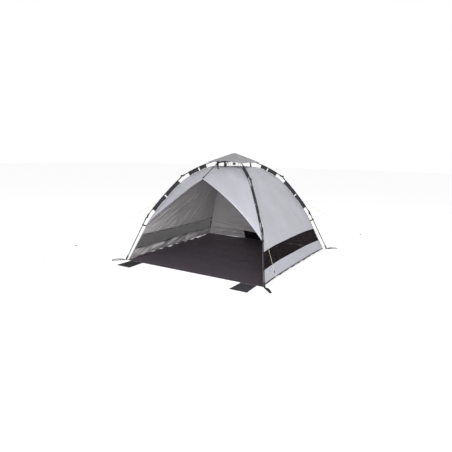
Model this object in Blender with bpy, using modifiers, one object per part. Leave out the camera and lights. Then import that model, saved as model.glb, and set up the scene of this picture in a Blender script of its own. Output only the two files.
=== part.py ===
"""Quick-up dome beach shelter, pitched.

A square groundsheet, a canopy of sewn panels open at the front, and a frame of four folding legs
and one short porch strut hinged to a central hub. Each leg has three fibreglass rods joined by two
knuckles. Units are metres, +Z is up, the origin is on the ground under the hub, and the open front
faces -Y.
"""

import math

import bmesh
import bpy
from mathutils import Matrix, Vector

# ---------------------------------------------------------------- driving dimensions
# Legs stand on a nearly square base. The front feet stand a little closer together.
REAR_FOOT = (1.050, 1.050)
FRONT_FOOT = (0.985, -1.070)

# A leg's centre line, in its own upright plane: (distance from the hub's axis, height).
HUB_PIVOT = (0.055, 1.338)
UPPER_JOINT = (0.714, 1.080)
LOWER_JOINT = (1.178, 0.553)
FOOT_TIP_HEIGHT = 0.010
UPPER_BOW = 0.037
MIDDLE_BOW = 0.015

# The porch strut runs forward from the hub and ends at the peak of the opening.
PORCH_PIVOT = (0.052, 1.292)
PORCH_JOINT = (0.430, 1.272)
PORCH_TIP = (0.774, 1.092)

ROD_RADIUS = 0.0055
PORCH_ARM_RADIUS = 0.0060
PORCH_ROD_RADIUS = 0.0045
FERRULE_RADIUS = 0.0078
FERRULE_LENGTH = 0.034
SOCKET_RADIUS = 0.0101
SOCKET_LENGTH = 0.034
SOCKET_GAP = 0.0003

# Knuckles and hub forks: an ear each side of a tongue, and a pin across them.
PIN_RADIUS = 0.0030
PIN_HOLE_RADIUS = 0.0035
PIN_OFFSET = 0.012
EYE_RADIUS = 0.0082
EAR_RADIUS = 0.0098
EAR_THICKNESS = 0.0038
SLOT_HALF = 0.0047
TONGUE_THICKNESS = 0.0086
TONGUE_REACH = 0.018
SOCKET_SETBACK = 0.012

HUB_RADIUS = 0.028
HUB_BASE = 1.272
HUB_TOP = 1.358
HUB_POST_TOP = 1.392
PULL_RADIUS = 0.0040
PULL_HANDLE_RADIUS = 0.020
PULL_HANDLE_BASE = 1.240
PULL_HANDLE_HEIGHT = 0.024

# Cloth thicknesses, and the gap from a pole's centre line in to the canopy's corner seam.
CANOPY_CLOTH = 0.0010
GROUND_CLOTH = 0.0015
CAP_CLOTH = 0.0012
SLEEVE_CLOTH = 0.0012
SEAM_OFFSET = 0.050
SEAM_INSET = 0.003

# Canopy: corners of its flat top, the height where the clips end the cloth, and the floor.
ROOF_CORNER_REACH = 0.386
ROOF_CENTRE_HEIGHT = 1.230
ROOF_EDGE_ARCH = 0.025
CLIP_REACH = 1.231
HEM_HEIGHT = 0.004
REAR_HEM = (1.010, 1.010)
FRONT_HEM = (0.962, -1.052)
FLOOR_FRONT = (0.965, -1.068)
FLOOR_REAR = (1.008, 1.008)
PORCH_PEAK = (0.0, -0.774, 1.083)
EDGE_BULGE = (0.019, 0.038, 0.026)
RIDGE_RISE = 0.020

# Mesh windows low in both side walls, and the pocket inside the back wall.
WINDOW_BASE = 0.140
WINDOW_TOP = 0.320
WINDOW_MARGIN = 0.020
WINDOW_GAP = 0.001
POCKET_HALF_WIDTH = 0.300
POCKET_BASE = 0.015
POCKET_TOP = 0.165
POCKET_STANDOFF = 0.006
POCKET_CLOTH = 0.002

# Rain cap over the hub: corners above the legs, front edge lifted by the porch strut.
CAP_APEX_HEIGHT = 1.404
CAP_CORNER_REACH = 0.375
CAP_CORNER_LIFT = 0.016
CAP_FRONT_HEIGHT = 1.296

# Sleeves between pole and canopy: reach of each end and of the notch, from the hub's axis.
SLEEVE_OUTER = 0.0063
SLEEVE_INNER = 0.0470
SLEEVE_NOTCH = 0.0120
UPPER_SLEEVE = (0.395, 0.487, 0.502, 0.632)
MIDDLE_SLEEVE = (0.767, 0.941, 0.951, 1.104)

# Ground fittings and guy lines.
SAND_POCKET_X = (0.700, 0.900)
SAND_POCKET_HINGE_Y = -1.073
SAND_POCKET_FRONT_Y = -1.322
SAND_POCKET_THICKNESS = 0.004
SAND_POCKET_HINGE_GAP = 0.0015
STRAP_LENGTH = 0.170
STRAP_WIDTH = 0.025
STRAP_THICKNESS = 0.002
FOOT_BASE_RADIUS = 0.011
FOOT_BASE_HEIGHT = 0.006
FOOT_CUP_LENGTH = 0.048
GUY_RADIUS = 0.0015
GUY_START_REACH = 1.050
GUY_START_OFFSET = 0.012
GUY_GROUND_HEIGHT = 0.004
GUY_REACH = 2.450
FRONT_RIGHT_GUY_REACH = 1.765

ROOT_HALF = math.sqrt(0.5)
ROUND = 16

# Leg name: (azimuth in degrees, foot, side the front foot leans to, reach of its guy line).
LEGS = {
    "front_left": (225, FRONT_FOOT, 1, GUY_REACH),
    "front_right": (315, FRONT_FOOT, -1, FRONT_RIGHT_GUY_REACH),
    "rear_right": (45, REAR_FOOT, 1, GUY_REACH),
    "rear_left": (135, REAR_FOOT, 1, GUY_REACH),
}
PORCH_AZIMUTH = 270

COLOURS = {
    "canopy_cloth": (0.60, 0.60, 0.64),
    "cap_cloth": (0.34, 0.34, 0.36),
    "ground_cloth": (0.055, 0.048, 0.058),
    "mesh_cloth": (0.020, 0.018, 0.022),
    "sleeve_cloth": (0.035, 0.034, 0.040),
    "fibreglass": (0.030, 0.030, 0.032),
    "plastic": (0.015, 0.015, 0.016),
    "webbing": (0.020, 0.020, 0.021),
    "cord": (0.72, 0.74, 0.50),
}
ROUGHNESS = {"fibreglass": 0.35, "plastic": 0.45}
CLOTH_ROUGHNESS = 0.8


# ---------------------------------------------------------------- scene helpers
def clear_scene():
    for obj in list(bpy.data.objects):
        bpy.data.objects.remove(obj)


def new_collection(name):
    collection = bpy.data.collections.new(name)
    bpy.context.scene.collection.children.link(collection)
    return collection


def material(name):
    found = bpy.data.materials.get(name)
    if found:
        return found
    made = bpy.data.materials.new(name)
    made.use_nodes = True
    shader = made.node_tree.nodes["Principled BSDF"]
    shader.inputs["Base Color"].default_value = (*COLOURS[name], 1.0)
    shader.inputs["Roughness"].default_value = ROUGHNESS.get(name, CLOTH_ROUGHNESS)
    return made


def object_from(bm, name):
    """A linked object from a bmesh."""
    mesh = bpy.data.meshes.new(name)
    bm.to_mesh(mesh)
    bm.free()
    obj = bpy.data.objects.new(name, mesh)
    bpy.context.scene.collection.objects.link(obj)
    return obj


def evaluated_mesh(obj):
    graph = bpy.context.evaluated_depsgraph_get()
    graph.update()
    return bpy.data.meshes.new_from_object(obj.evaluated_get(graph))


def apply_modifiers(obj):
    mesh = evaluated_mesh(obj)
    obj.modifiers.clear()
    obj.data = mesh
    return obj


def curve_to_mesh(obj):
    """The curve's mesh with its caps welded, in the curve's place."""
    mesh = evaluated_mesh(obj)
    bm = bmesh.new()
    bm.from_mesh(mesh)
    bmesh.ops.remove_doubles(bm, verts=bm.verts, dist=0.00001)
    bm.to_mesh(mesh)
    bm.free()
    made = bpy.data.objects.new(obj.name, mesh)
    made.matrix_world = obj.matrix_world.copy()
    bpy.context.scene.collection.objects.link(made)
    bpy.data.objects.remove(obj)
    return made


def combine(obj, tools, operation):
    """Joins the tools to obj, or cuts them from it, and removes them."""
    for tool in tools:
        modifier = obj.modifiers.new(operation.lower(), "BOOLEAN")
        modifier.operation = operation
        modifier.solver = "EXACT"
        modifier.object = tool
        apply_modifiers(obj)
        bpy.data.objects.remove(tool)
    return obj


# ---------------------------------------------------------------- shapes
def cylinder(start, end, radius, sides=ROUND):
    start, end = Vector(start), Vector(end)
    axis = end - start
    turn = axis.to_track_quat("Z", "Y").to_matrix().to_4x4()
    bm = bmesh.new()
    bmesh.ops.create_cone(
        bm,
        cap_ends=True,
        segments=sides,
        radius1=radius,
        radius2=radius,
        depth=axis.length,
        matrix=Matrix.Translation((start + end) / 2) @ turn,
    )
    return object_from(bm, "cylinder")


def box(low, high):
    low, high = Vector(low), Vector(high)
    size = high - low
    bm = bmesh.new()
    place = Matrix.Translation((low + high) / 2) @ Matrix.Diagonal((*size, 1.0))
    bmesh.ops.create_cube(bm, size=1.0, matrix=place)
    return object_from(bm, "box")


def tube(points, radius, bevel_resolution=3):
    """A round tube along points."""
    curve = bpy.data.curves.new("tube", "CURVE")
    curve.dimensions = "3D"
    curve.bevel_depth = radius
    curve.bevel_resolution = bevel_resolution
    curve.use_fill_caps = True
    spline = curve.splines.new("POLY")
    spline.points.add(len(points) - 1)
    for target, point in zip(spline.points, points):
        target.co = (*point, 1.0)
    obj = bpy.data.objects.new("tube", curve)
    bpy.context.scene.collection.objects.link(obj)
    return curve_to_mesh(obj)


def plate(outlines, thickness, middle=0.0):
    """A flat plate in the leg's plane (x, z), its middle at y = middle.

    Outlines after the first are holes.
    """
    curve = bpy.data.curves.new("plate", "CURVE")
    curve.dimensions = "2D"
    curve.fill_mode = "BOTH"
    curve.extrude = thickness / 2
    for outline in outlines:
        spline = curve.splines.new("POLY")
        spline.points.add(len(outline) - 1)
        spline.use_cyclic_u = True
        for target, (x, z) in zip(spline.points, outline):
            target.co = (x, z, 0.0, 1.0)
    obj = bpy.data.objects.new("plate", curve)
    bpy.context.scene.collection.objects.link(obj)
    obj.matrix_world = Matrix.Translation((0, middle, 0)) @ Matrix.Rotation(math.pi / 2, 4, "X")
    bpy.context.view_layer.update()
    made = curve_to_mesh(obj)
    made.data.transform(made.matrix_world)
    made.matrix_world = Matrix.Identity(4)
    return made


def circle(centre, radius, sides=ROUND):
    return [
        (
            centre[0] + radius * math.cos(2 * math.pi * k / sides),
            centre[1] + radius * math.sin(2 * math.pi * k / sides),
        )
        for k in range(sides)
    ]


def link_outline(first, first_radius, second, second_radius, arc_steps=8):
    """The outline of a link: two round ends and the straight sides between them."""
    (ax, az), (bx, bz) = first, second
    along = math.atan2(bz - az, bx - ax)
    lean = math.acos((first_radius - second_radius) / math.hypot(bx - ax, bz - az))
    points = []
    for centre, radius, begin, end in (
        (second, second_radius, -lean, lean),
        (first, first_radius, lean, 2 * math.pi - lean),
    ):
        for k in range(arc_steps + 1):
            angle = along + begin + (end - begin) * k / arc_steps
            points.append((centre[0] + radius * math.cos(angle), centre[1] + radius * math.sin(angle)))
    return points


def convex_plate(outline, thickness, middle):
    """A flat plate with a convex outline and no hole, in the leg's plane, its middle at y = middle."""
    bm = bmesh.new()
    sides = []
    for y in (middle - thickness / 2, middle + thickness / 2):
        sides.append([bm.verts.new((x, y, z)) for x, z in outline])
    near, far = sides
    count = len(outline)
    bm.faces.new(near[::-1])
    bm.faces.new(far)
    for k in range(count):
        n = (k + 1) % count
        bm.faces.new((near[k], near[n], far[n], far[k]))
    bmesh.ops.recalc_face_normals(bm, faces=bm.faces)
    return object_from(bm, "plate")


def turned(profile, steps=24):
    """A solid of revolution about Z. The profile runs from the top down, on the +X side."""
    bm = bmesh.new()
    verts = [bm.verts.new((x, 0.0, z)) for x, z in profile]
    for a, b in zip(verts, verts[1:]):
        bm.edges.new((a, b))
    obj = object_from(bm, "turned")
    screw = obj.modifiers.new("turn", "SCREW")
    screw.steps = steps
    screw.render_steps = steps
    screw.use_merge_vertices = True
    screw.merge_threshold = 0.00001
    return apply_modifiers(obj)


def sheet(rows, thickness, missing=()):
    """A closed thin panel from a grid of points. missing lists (row, column) faces left out."""
    bm = bmesh.new()
    grid = [[bm.verts.new(point) for point in row] for row in rows]
    for j in range(len(grid) - 1):
        for i in range(len(grid[0]) - 1):
            if (j, i) not in missing:
                bm.faces.new((grid[j][i], grid[j][i + 1], grid[j + 1][i + 1], grid[j + 1][i]))
    loose = [v for v in bm.verts if not v.link_faces]
    bmesh.ops.delete(bm, geom=loose, context="VERTS")
    obj = object_from(bm, "sheet")
    solid = obj.modifiers.new("cloth", "SOLIDIFY")
    solid.thickness = thickness
    solid.offset = 0.0
    solid.use_even_offset = True
    return apply_modifiers(obj)


# ---------------------------------------------------------------- the leg's centre line
class Span:
    """One rod's centre line in its leg's plane: a chord with a shallow bow to the outer side."""

    def __init__(self, start, end, bow=0.0):
        self.start, self.end, self.bow = Vector(start), Vector(end), bow
        self.length = (self.end - self.start).length
        self.chord = (self.end - self.start) / self.length
        self.outward = Vector((-self.chord.y, self.chord.x))

    def point(self, share, offset=0.0):
        on_chord = self.start + (self.end - self.start) * share
        bowed = on_chord + self.outward * (4 * self.bow * share * (1 - share))
        return bowed + self.normal(share) * offset

    def direction(self, share):
        slope = 4 * self.bow * (1 - 2 * share) / self.length
        return (self.chord + self.outward * slope).normalized()

    def normal(self, share):
        along = self.direction(share)
        return Vector((-along.y, along.x))

    def share_at_reach(self, reach):
        """How far along the rod its centre line is this far from the hub's axis."""
        low, high = 0.0, 1.0
        for _ in range(40):
            middle = (low + high) / 2
            if self.point(middle).x < reach:
                low = middle
            else:
                high = middle
        return low


UPPER = Span(HUB_PIVOT, UPPER_JOINT, UPPER_BOW)
MIDDLE = Span(UPPER_JOINT, LOWER_JOINT, MIDDLE_BOW)


def foot_in_leg(leg):
    """The foot tip in the leg's own frame: reach, sideways, height."""
    _, foot, lean, _ = LEGS[leg]
    reach = (foot[0] + abs(foot[1])) * ROOT_HALF
    sideways = (abs(foot[1]) - foot[0]) * ROOT_HALF * lean
    return Vector((reach, sideways, FOOT_TIP_HEIGHT))


def upright(point, sideways=0.0):
    """A point of the leg's plane as a point in space."""
    return Vector((point[0], sideways, point[1]))


def pin_point(joint, before, after, side):
    """Where a knuckle's pin crosses the leg's plane: beside the joint, on its outer or inner side."""
    mean = (before + after).normalized()
    return Vector(joint) + Vector((-mean.y, mean.x)) * (side * PIN_OFFSET)


UPPER_PIN = pin_point(UPPER_JOINT, UPPER.direction(1), MIDDLE.direction(0), 1)
LOWER_RUN = (Vector((REAR_FOOT[0] / ROOT_HALF, 0.0)) - Vector(LOWER_JOINT)).normalized()
LOWER_PIN = pin_point(LOWER_JOINT, MIDDLE.direction(1), LOWER_RUN, -1)
PORCH_ARM = Span(PORCH_PIVOT, PORCH_JOINT)
PORCH_ROD = Span(PORCH_JOINT, PORCH_TIP)
PORCH_PIN = pin_point(PORCH_JOINT, PORCH_ARM.chord, PORCH_ROD.chord, 1)


# ---------------------------------------------------------------- frame pieces, in a leg's frame
def tongue(pin, rod_start):
    """The flat end of a rod's fitting, bored for its pin."""
    outline = link_outline(rod_start, FERRULE_RADIUS, pin, EYE_RADIUS)
    return plate([outline, circle(pin, PIN_HOLE_RADIUS)], TONGUE_THICKNESS)


def rod_with_tongue(pin, points, radius):
    """A rod whose near end has a ferrule and a tongue."""
    start, after = Vector(points[0]), Vector(points[1])
    run = (after - start).normalized()
    body = tube(points, radius)
    ferrule = cylinder(start - run * 0.002, start + run * FERRULE_LENGTH, FERRULE_RADIUS)
    flat = tongue(pin, (start.x, start.z))
    return combine(body, [ferrule, flat], "UNION")


def knuckle(joint, pin, run, rod_radius):
    """A socket for the rod that ends here, two ears and the pin of the next rod's tongue."""
    joint, run = Vector(joint), Vector(run)
    mouth = joint - run * (SOCKET_SETBACK + SOCKET_LENGTH)
    back = joint - run * SOCKET_SETBACK
    body = cylinder(upright(mouth), upright(back), SOCKET_RADIUS)
    root = joint - run * (SOCKET_SETBACK + 0.004)
    outline = link_outline(root, EAR_RADIUS, pin, EAR_RADIUS)
    middle = SLOT_HALF + EAR_THICKNESS / 2
    ears = [convex_plate(outline, EAR_THICKNESS, side * middle) for side in (-1, 1)]
    head = SLOT_HALF + EAR_THICKNESS + 0.001
    rivet = cylinder(upright(pin, -head), upright(pin, head), PIN_RADIUS, 12)
    combine(body, [*ears, rivet], "UNION")
    bore = cylinder(
        upright(mouth - run * 0.005), upright(back - run * 0.003), rod_radius + SOCKET_GAP
    )
    return combine(body, [bore], "DIFFERENCE")


def rod_points(span, count):
    """Points of a rod's centre line from its tongue. Its end runs straight into the next socket."""
    first = TONGUE_REACH / span.length
    last = 1 - (SOCKET_SETBACK + SOCKET_LENGTH + 0.030) / span.length
    shares = [first + (last - first) * k / (count - 1) for k in range(count)]
    points = [upright(span.point(share)) for share in shares]
    for before_joint in (SOCKET_SETBACK + SOCKET_LENGTH + 0.002, SOCKET_SETBACK + 0.004):
        points.append(upright(span.end - span.direction(1) * before_joint))
    return points


def upper_pole():
    points = rod_points(UPPER, 10)
    return rod_with_tongue(HUB_PIVOT, points, ROD_RADIUS)


def middle_pole():
    points = rod_points(MIDDLE, 8)
    return rod_with_tongue(UPPER_PIN, points, ROD_RADIUS)


def lower_pole(foot):
    joint = upright(LOWER_JOINT)
    run = (foot - joint).normalized()
    start = upright(Vector(LOWER_JOINT) + LOWER_RUN * TONGUE_REACH)
    end = foot - run * 0.012
    return rod_with_tongue(LOWER_PIN, [start, start.lerp(end, 0.5), end], ROD_RADIUS)


def foot_cap(foot):
    """A cup round the rod's end on a small round base."""
    run = (foot - upright(LOWER_JOINT)).normalized()
    top = foot - run * FOOT_CUP_LENGTH
    body = cylinder(foot, top, SOCKET_RADIUS)
    ground = Vector((foot.x, foot.y, 0.0))
    base = cylinder(ground, ground + Vector((0, 0, FOOT_BASE_HEIGHT + 0.004)), FOOT_BASE_RADIUS)
    combine(body, [base], "UNION")
    bore = cylinder(foot - run * 0.0115, top - run * 0.01, ROD_RADIUS + SOCKET_GAP)
    return combine(body, [bore], "DIFFERENCE")


def peg_strap(foot):
    near = foot.x + FOOT_BASE_RADIUS + 0.0015
    low = (near, foot.y - STRAP_WIDTH / 2, 0.0)
    high = (near + STRAP_LENGTH, foot.y + STRAP_WIDTH / 2, STRAP_THICKNESS)
    return box(low, high)


def sleeve(span, reaches):
    """Two cloth tabs between pole and canopy, parted by a notch, joined along the pole."""
    first, notch_start, notch_end, last = (span.share_at_reach(r) for r in reaches)

    def run_of(begin, end, offset, steps=4):
        return [span.point(begin + (end - begin) * k / steps, -offset) for k in range(steps + 1)]

    outline = run_of(first, last, SLEEVE_OUTER, 8)
    outline += run_of(last, notch_end, SLEEVE_INNER)
    outline += run_of(notch_end, notch_start, SLEEVE_NOTCH, 1)
    outline += run_of(notch_start, first, SLEEVE_INNER)
    return plate([[tuple(p) for p in outline]], SLEEVE_CLOTH)


def guy_line(leg):
    reach = LEGS[leg][3]
    share = MIDDLE.share_at_reach(GUY_START_REACH)
    start = upright(MIDDLE.point(share, GUY_START_OFFSET))
    end = Vector((reach, 0.0, GUY_GROUND_HEIGHT))
    steps = 16
    return tube([start.lerp(end, k / steps) for k in range(steps + 1)], GUY_RADIUS, 2)


# ---------------------------------------------------------------- the hub and its cap
def hub_body():
    profile = [
        (0.0, HUB_POST_TOP),
        (0.009, HUB_POST_TOP - 0.003),
        (0.012, HUB_POST_TOP - 0.010),
        (0.012, HUB_TOP + 0.006),
        (0.020, HUB_TOP),
        (HUB_RADIUS, HUB_TOP - 0.008),
        (HUB_RADIUS, HUB_BASE + 0.006),
        (HUB_RADIUS - 0.006, HUB_BASE),
        (0.0, HUB_BASE),
    ]
    body = turned(profile)
    forks = [(azimuth, HUB_PIVOT) for azimuth, *_ in LEGS.values()] + [(PORCH_AZIMUTH, PORCH_PIVOT)]
    for azimuth, pivot in forks:
        outline = link_outline((0.020, pivot[1]), 0.013, pivot, EAR_RADIUS)
        middle = SLOT_HALF + EAR_THICKNESS / 2
        head = SLOT_HALF + EAR_THICKNESS + 0.001
        pieces = [convex_plate(outline, EAR_THICKNESS, side * middle) for side in (-1, 1)]
        pieces.append(cylinder(upright(pivot, -head), upright(pivot, head), PIN_RADIUS, 12))
        for piece in pieces:
            piece.data.transform(Matrix.Rotation(math.radians(azimuth), 4, "Z"))
        combine(body, pieces, "UNION")
    bore_top = HUB_BASE + 0.030
    bore = cylinder((0, 0, HUB_BASE - 0.01), (0, 0, bore_top), PULL_RADIUS + 0.0005)
    return combine(body, [bore], "DIFFERENCE")


def hub_release_pull():
    top = HUB_BASE + 0.026
    grip = PULL_HANDLE_BASE + PULL_HANDLE_HEIGHT
    profile = [
        (0.0, top),
        (PULL_RADIUS, top - 0.001),
        (PULL_RADIUS, grip + 0.003),
        (PULL_HANDLE_RADIUS - 0.003, grip),
        (PULL_HANDLE_RADIUS, grip - 0.003),
        (PULL_HANDLE_RADIUS, PULL_HANDLE_BASE + 0.002),
        (PULL_HANDLE_RADIUS - 0.003, PULL_HANDLE_BASE),
        (0.0, PULL_HANDLE_BASE),
    ]
    return turned(profile, 20)


def top_cap():
    """Four sloping sides, each split down its middle, so that the strut can lift the front edge."""
    share = UPPER.share_at_reach(CAP_CORNER_REACH)
    corner = UPPER.point(share, ROD_RADIUS + CAP_CORNER_LIFT)
    side = CAP_CORNER_REACH * ROOT_HALF
    heights = {(0, -1): CAP_FRONT_HEIGHT}
    apex = Vector((0.0, 0.0, CAP_APEX_HEIGHT))
    steps = 4
    rows = []
    for j in range(-1, 2):
        for i in range(-1, 2):
            if i or j:
                height = corner.y if i and j else heights.get((i, j), corner.y + 0.004)
                rows.append((math.atan2(j, i), Vector((i * side, j * side, height))))
    rim = [point for _, point in sorted(rows, key=lambda row: row[0])]
    bm = bmesh.new()
    top = bm.verts.new(apex)
    rings = []
    for k in range(1, steps + 1):
        rings.append([bm.verts.new(apex.lerp(point, k / steps)) for point in rim])
    count = len(rim)
    for i in range(count):
        bm.faces.new((top, rings[0][i], rings[0][(i + 1) % count]))
        for inner, outer in zip(rings, rings[1:]):
            n = (i + 1) % count
            bm.faces.new((inner[i], outer[i], outer[n], inner[n]))
    obj = object_from(bm, "cap")
    solid = obj.modifiers.new("cloth", "SOLIDIFY")
    solid.thickness = CAP_CLOTH
    solid.offset = 1.0
    return apply_modifiers(obj)


# ---------------------------------------------------------------- the canopy
def seam_profile():
    """The corner seam from the roof down to the clip, as (reach, height) inside the pole."""
    points = []
    for span, first, last, count in ((UPPER, ROOF_CORNER_REACH + 0.016, None, 5), (MIDDLE, None, None, 9)):
        begin = span.share_at_reach(first) if first else 0.0
        for k in range(count):
            share = begin + (1.0 - begin) * k / (count - 1)
            points.append(span.point(share, -SEAM_OFFSET))
    lower = Span(LOWER_JOINT, (REAR_FOOT[0] / ROOT_HALF, FOOT_TIP_HEIGHT))
    points.append(lower.point(lower.share_at_reach(CLIP_REACH), -SEAM_OFFSET))
    falling = [points[0]]
    for point in points[1:]:
        if point.y < falling[-1].y - 0.01 and point.x > falling[-1].x:
            falling.append(point)
    return falling


SEAM = seam_profile()
ROOF_HEIGHT = SEAM[0].y
ROOF_SIDE = SEAM[0].x * ROOT_HALF
CLIP_HEIGHT = SEAM[-1].y
WALL_LEVELS = [HEM_HEIGHT, WINDOW_BASE, WINDOW_TOP] + [p.y for p in reversed(SEAM)]


def seam_reach(height):
    for upper, lower in zip(SEAM, SEAM[1:]):
        if height >= lower.y:
            share = (upper.y - height) / (upper.y - lower.y)
            return upper.x + (lower.x - upper.x) * share
    return SEAM[-1].x


def seam_corner(side_x, side_y, height):
    """A point of the corner seam on the given side, at this height."""
    if height >= CLIP_HEIGHT:
        reach = seam_reach(height) * ROOT_HALF
        return Vector((side_x * reach, side_y * reach, height))
    hem = REAR_HEM if side_y > 0 else FRONT_HEM
    clip = SEAM[-1].x * ROOT_HALF
    share = height / CLIP_HEIGHT
    x = hem[0] + (clip - hem[0]) * share
    y = abs(hem[1]) + (clip - abs(hem[1])) * share
    return Vector((side_x * x, side_y * y, height))


def wall_row(first_corner, last_corner, height, stations, inset):
    """One level of a wall, from seam to seam. The top levels arch up towards the roof's edge."""
    first, last = seam_corner(*first_corner, height), seam_corner(*last_corner, height)
    run = (last - first).normalized()
    first, last = first + run * inset, last - run * inset
    arch = ROOF_EDGE_ARCH * (height / ROOF_HEIGHT) ** 6
    row = []
    for station in stations:
        point = first.lerp(last, (station + 1) / 2)
        point.z += arch * (1 - station * station)
        row.append(point)
    return row


def wall_panel(first_corner, last_corner, window):
    stations = [-1, -0.5, 0, 0.5, 1]
    missing = set()
    if window:
        edge = 1 - WINDOW_MARGIN
        stations = [-1, -edge, -0.5, 0, 0.5, edge, 1]
        missing = {(1, i) for i in range(1, len(stations) - 2)}
    rows = [wall_row(first_corner, last_corner, z, stations, SEAM_INSET) for z in WALL_LEVELS]
    return sheet(rows, CANOPY_CLOTH, missing)


def window_panel(first_corner, last_corner):
    edge = 1 - WINDOW_MARGIN - WINDOW_GAP
    stations = [-edge, -0.5, 0, 0.5, edge]
    levels = [WINDOW_BASE + WINDOW_GAP, WINDOW_TOP - WINDOW_GAP]
    rows = [wall_row(first_corner, last_corner, z, stations, SEAM_INSET) for z in levels]
    return sheet(rows, CANOPY_CLOTH)


def roof_height(x, y):
    fall = ROOF_CENTRE_HEIGHT - ROOF_HEIGHT
    return ROOF_CENTRE_HEIGHT - fall * (x * x + y * y) / (2 * ROOF_SIDE * ROOF_SIDE)


def roof_panel():
    half = ROOF_SIDE - SEAM_INSET
    steps = 6
    marks = [-half + 2 * half * k / steps for k in range(steps + 1)]
    return sheet([[Vector((x, y, roof_height(x, y))) for x in marks] for y in marks], CANOPY_CLOTH)


def front_panel(side):
    """From the roof's front edge out to the porch peak and down to the clip on one side."""
    peak, bulge = Vector(PORCH_PEAK), Vector(EDGE_BULGE)
    middle = Vector((0.0, -ROOF_SIDE, roof_height(0.0, ROOF_SIDE)))
    corner = seam_corner(1, -1, ROOF_HEIGHT)
    clip = seam_corner(1, -1, CLIP_HEIGHT)

    def roof_edge(u):
        return Vector((corner.x * u, -ROOF_SIDE, roof_height(corner.x * u, ROOF_SIDE)))

    def free_edge(u):
        return peak.lerp(clip, u) + bulge * (4 * u * (1 - u))

    def ridge(v):
        return middle.lerp(peak, v) + Vector((0, 0, RIDGE_RISE)) * (4 * v * (1 - v))

    def seam(v):
        reach = SEAM[0].x + (SEAM[-1].x - SEAM[0].x) * v
        height = next(
            a.y + (b.y - a.y) * (reach - a.x) / (b.x - a.x)
            for a, b in zip(SEAM, SEAM[1:])
            if reach <= b.x + 1e-9
        )
        return Vector((reach * ROOT_HALF, -reach * ROOT_HALF, height))

    def patch(u, v):
        across = roof_edge(u) * (1 - v) + free_edge(u) * v
        down = ridge(v) * (1 - u) + seam(v) * u
        corners = (middle * (1 - u) + corner * u) * (1 - v) + (peak * (1 - u) + clip * u) * v
        return across + down - corners

    steps = 8
    near, far = 0.008, 0.992
    marks = [near + (far - near) * k / steps for k in range(steps + 1)]
    rows = [[patch(u, v) for u in marks] for v in marks]
    rows = [[Vector((side * p.x, p.y, p.z)) for p in row] for row in rows]
    return sheet(rows if side > 0 else [row[::-1] for row in rows], CANOPY_CLOTH)


def groundsheet():
    (fx, fy), (rx, ry) = FLOOR_FRONT, FLOOR_REAR
    outline = [(-fx, fy), (fx, fy), (rx, ry), (-rx, ry)]
    panel = plate([outline], GROUND_CLOTH)
    panel.data.transform(Matrix.Rotation(-math.pi / 2, 4, "X"))
    panel.data.transform(Matrix.Translation((0, 0, GROUND_CLOTH / 2)))
    return panel


def inner_pocket():
    rows = []
    for height in (POCKET_BASE, POCKET_TOP):
        wall = seam_corner(1, 1, height).y - POCKET_STANDOFF
        marks = (-1, 0, 1)
        rows.append([Vector((m * POCKET_HALF_WIDTH, wall, height)) for m in marks])
    return sheet(rows, POCKET_CLOTH)


def sand_pocket(side):
    low_x, high_x = SAND_POCKET_X
    if side < 0:
        low_x, high_x = -high_x, -low_x
    back = SAND_POCKET_HINGE_Y - SAND_POCKET_HINGE_GAP
    return box((low_x, SAND_POCKET_FRONT_Y, 0.0), (high_x, back, SAND_POCKET_THICKNESS))


# ---------------------------------------------------------------- assembly
def pivot_empty(name, place, azimuth, parent):
    """An empty on a joint's axis, turned with its leg. A moving piece hangs on it."""
    empty = bpy.data.objects.new(name, None)
    empty.empty_display_size = 0.03
    bpy.context.scene.collection.objects.link(empty)
    turn = Matrix.Rotation(math.radians(azimuth), 4, "Z")
    keep = turn @ Matrix.Translation(place)
    if parent:
        empty.parent = parent
        empty.matrix_parent_inverse = parent.matrix_world.inverted()
    empty.matrix_world = keep
    bpy.context.view_layer.update()
    return empty


def fit(collection, obj, name, finish, parent, azimuth=0):
    """Names a piece made in its leg's frame, and sets it on its parent with its origin there."""
    obj.name = name
    obj.data.name = name
    obj.data.materials.clear()
    obj.data.materials.append(material(finish))
    turn = Matrix.Rotation(math.radians(azimuth), 4, "Z")
    obj.data.transform(parent.matrix_world.inverted() @ turn)
    obj.parent = parent
    obj.matrix_parent_inverse = Matrix.Identity(4)
    obj.matrix_basis = Matrix.Identity(4)
    for linked in list(obj.users_collection):
        linked.objects.unlink(obj)
    collection.objects.link(obj)
    obj.data.shade_smooth()
    obj.data.set_sharp_from_angle(angle=math.radians(35))
    return obj


def build_leg(collection, leg, ground, hub):
    azimuth = LEGS[leg][0]
    foot = foot_in_leg(leg)
    upper = pivot_empty(f"pivot_upper_{leg}", upright(HUB_PIVOT), azimuth, hub)
    middle = pivot_empty(f"pivot_middle_{leg}", upright(UPPER_PIN), azimuth, upper)
    lower = pivot_empty(f"pivot_lower_{leg}", upright(LOWER_PIN), azimuth, middle)
    upper_joint = knuckle(UPPER_JOINT, UPPER_PIN, UPPER.direction(1), ROD_RADIUS)
    lower_joint = knuckle(LOWER_JOINT, LOWER_PIN, MIDDLE.direction(1), ROD_RADIUS)
    pieces = [
        ("upper_pole", upper_pole(), "fibreglass", upper),
        ("upper_knuckle", upper_joint, "plastic", upper),
        ("upper_sleeve", sleeve(UPPER, UPPER_SLEEVE), "sleeve_cloth", upper),
        ("middle_pole", middle_pole(), "fibreglass", middle),
        ("lower_knuckle", lower_joint, "plastic", middle),
        ("middle_sleeve", sleeve(MIDDLE, MIDDLE_SLEEVE), "sleeve_cloth", middle),
        ("lower_pole", lower_pole(foot), "fibreglass", lower),
        ("foot", foot_cap(foot), "plastic", lower),
        ("peg_strap", peg_strap(foot), "webbing", ground),
        ("guy_line", guy_line(leg), "cord", ground),
    ]
    for name, piece, finish, parent in pieces:
        fit(collection, piece, f"{name}_{leg}", finish, parent, azimuth)


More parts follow.
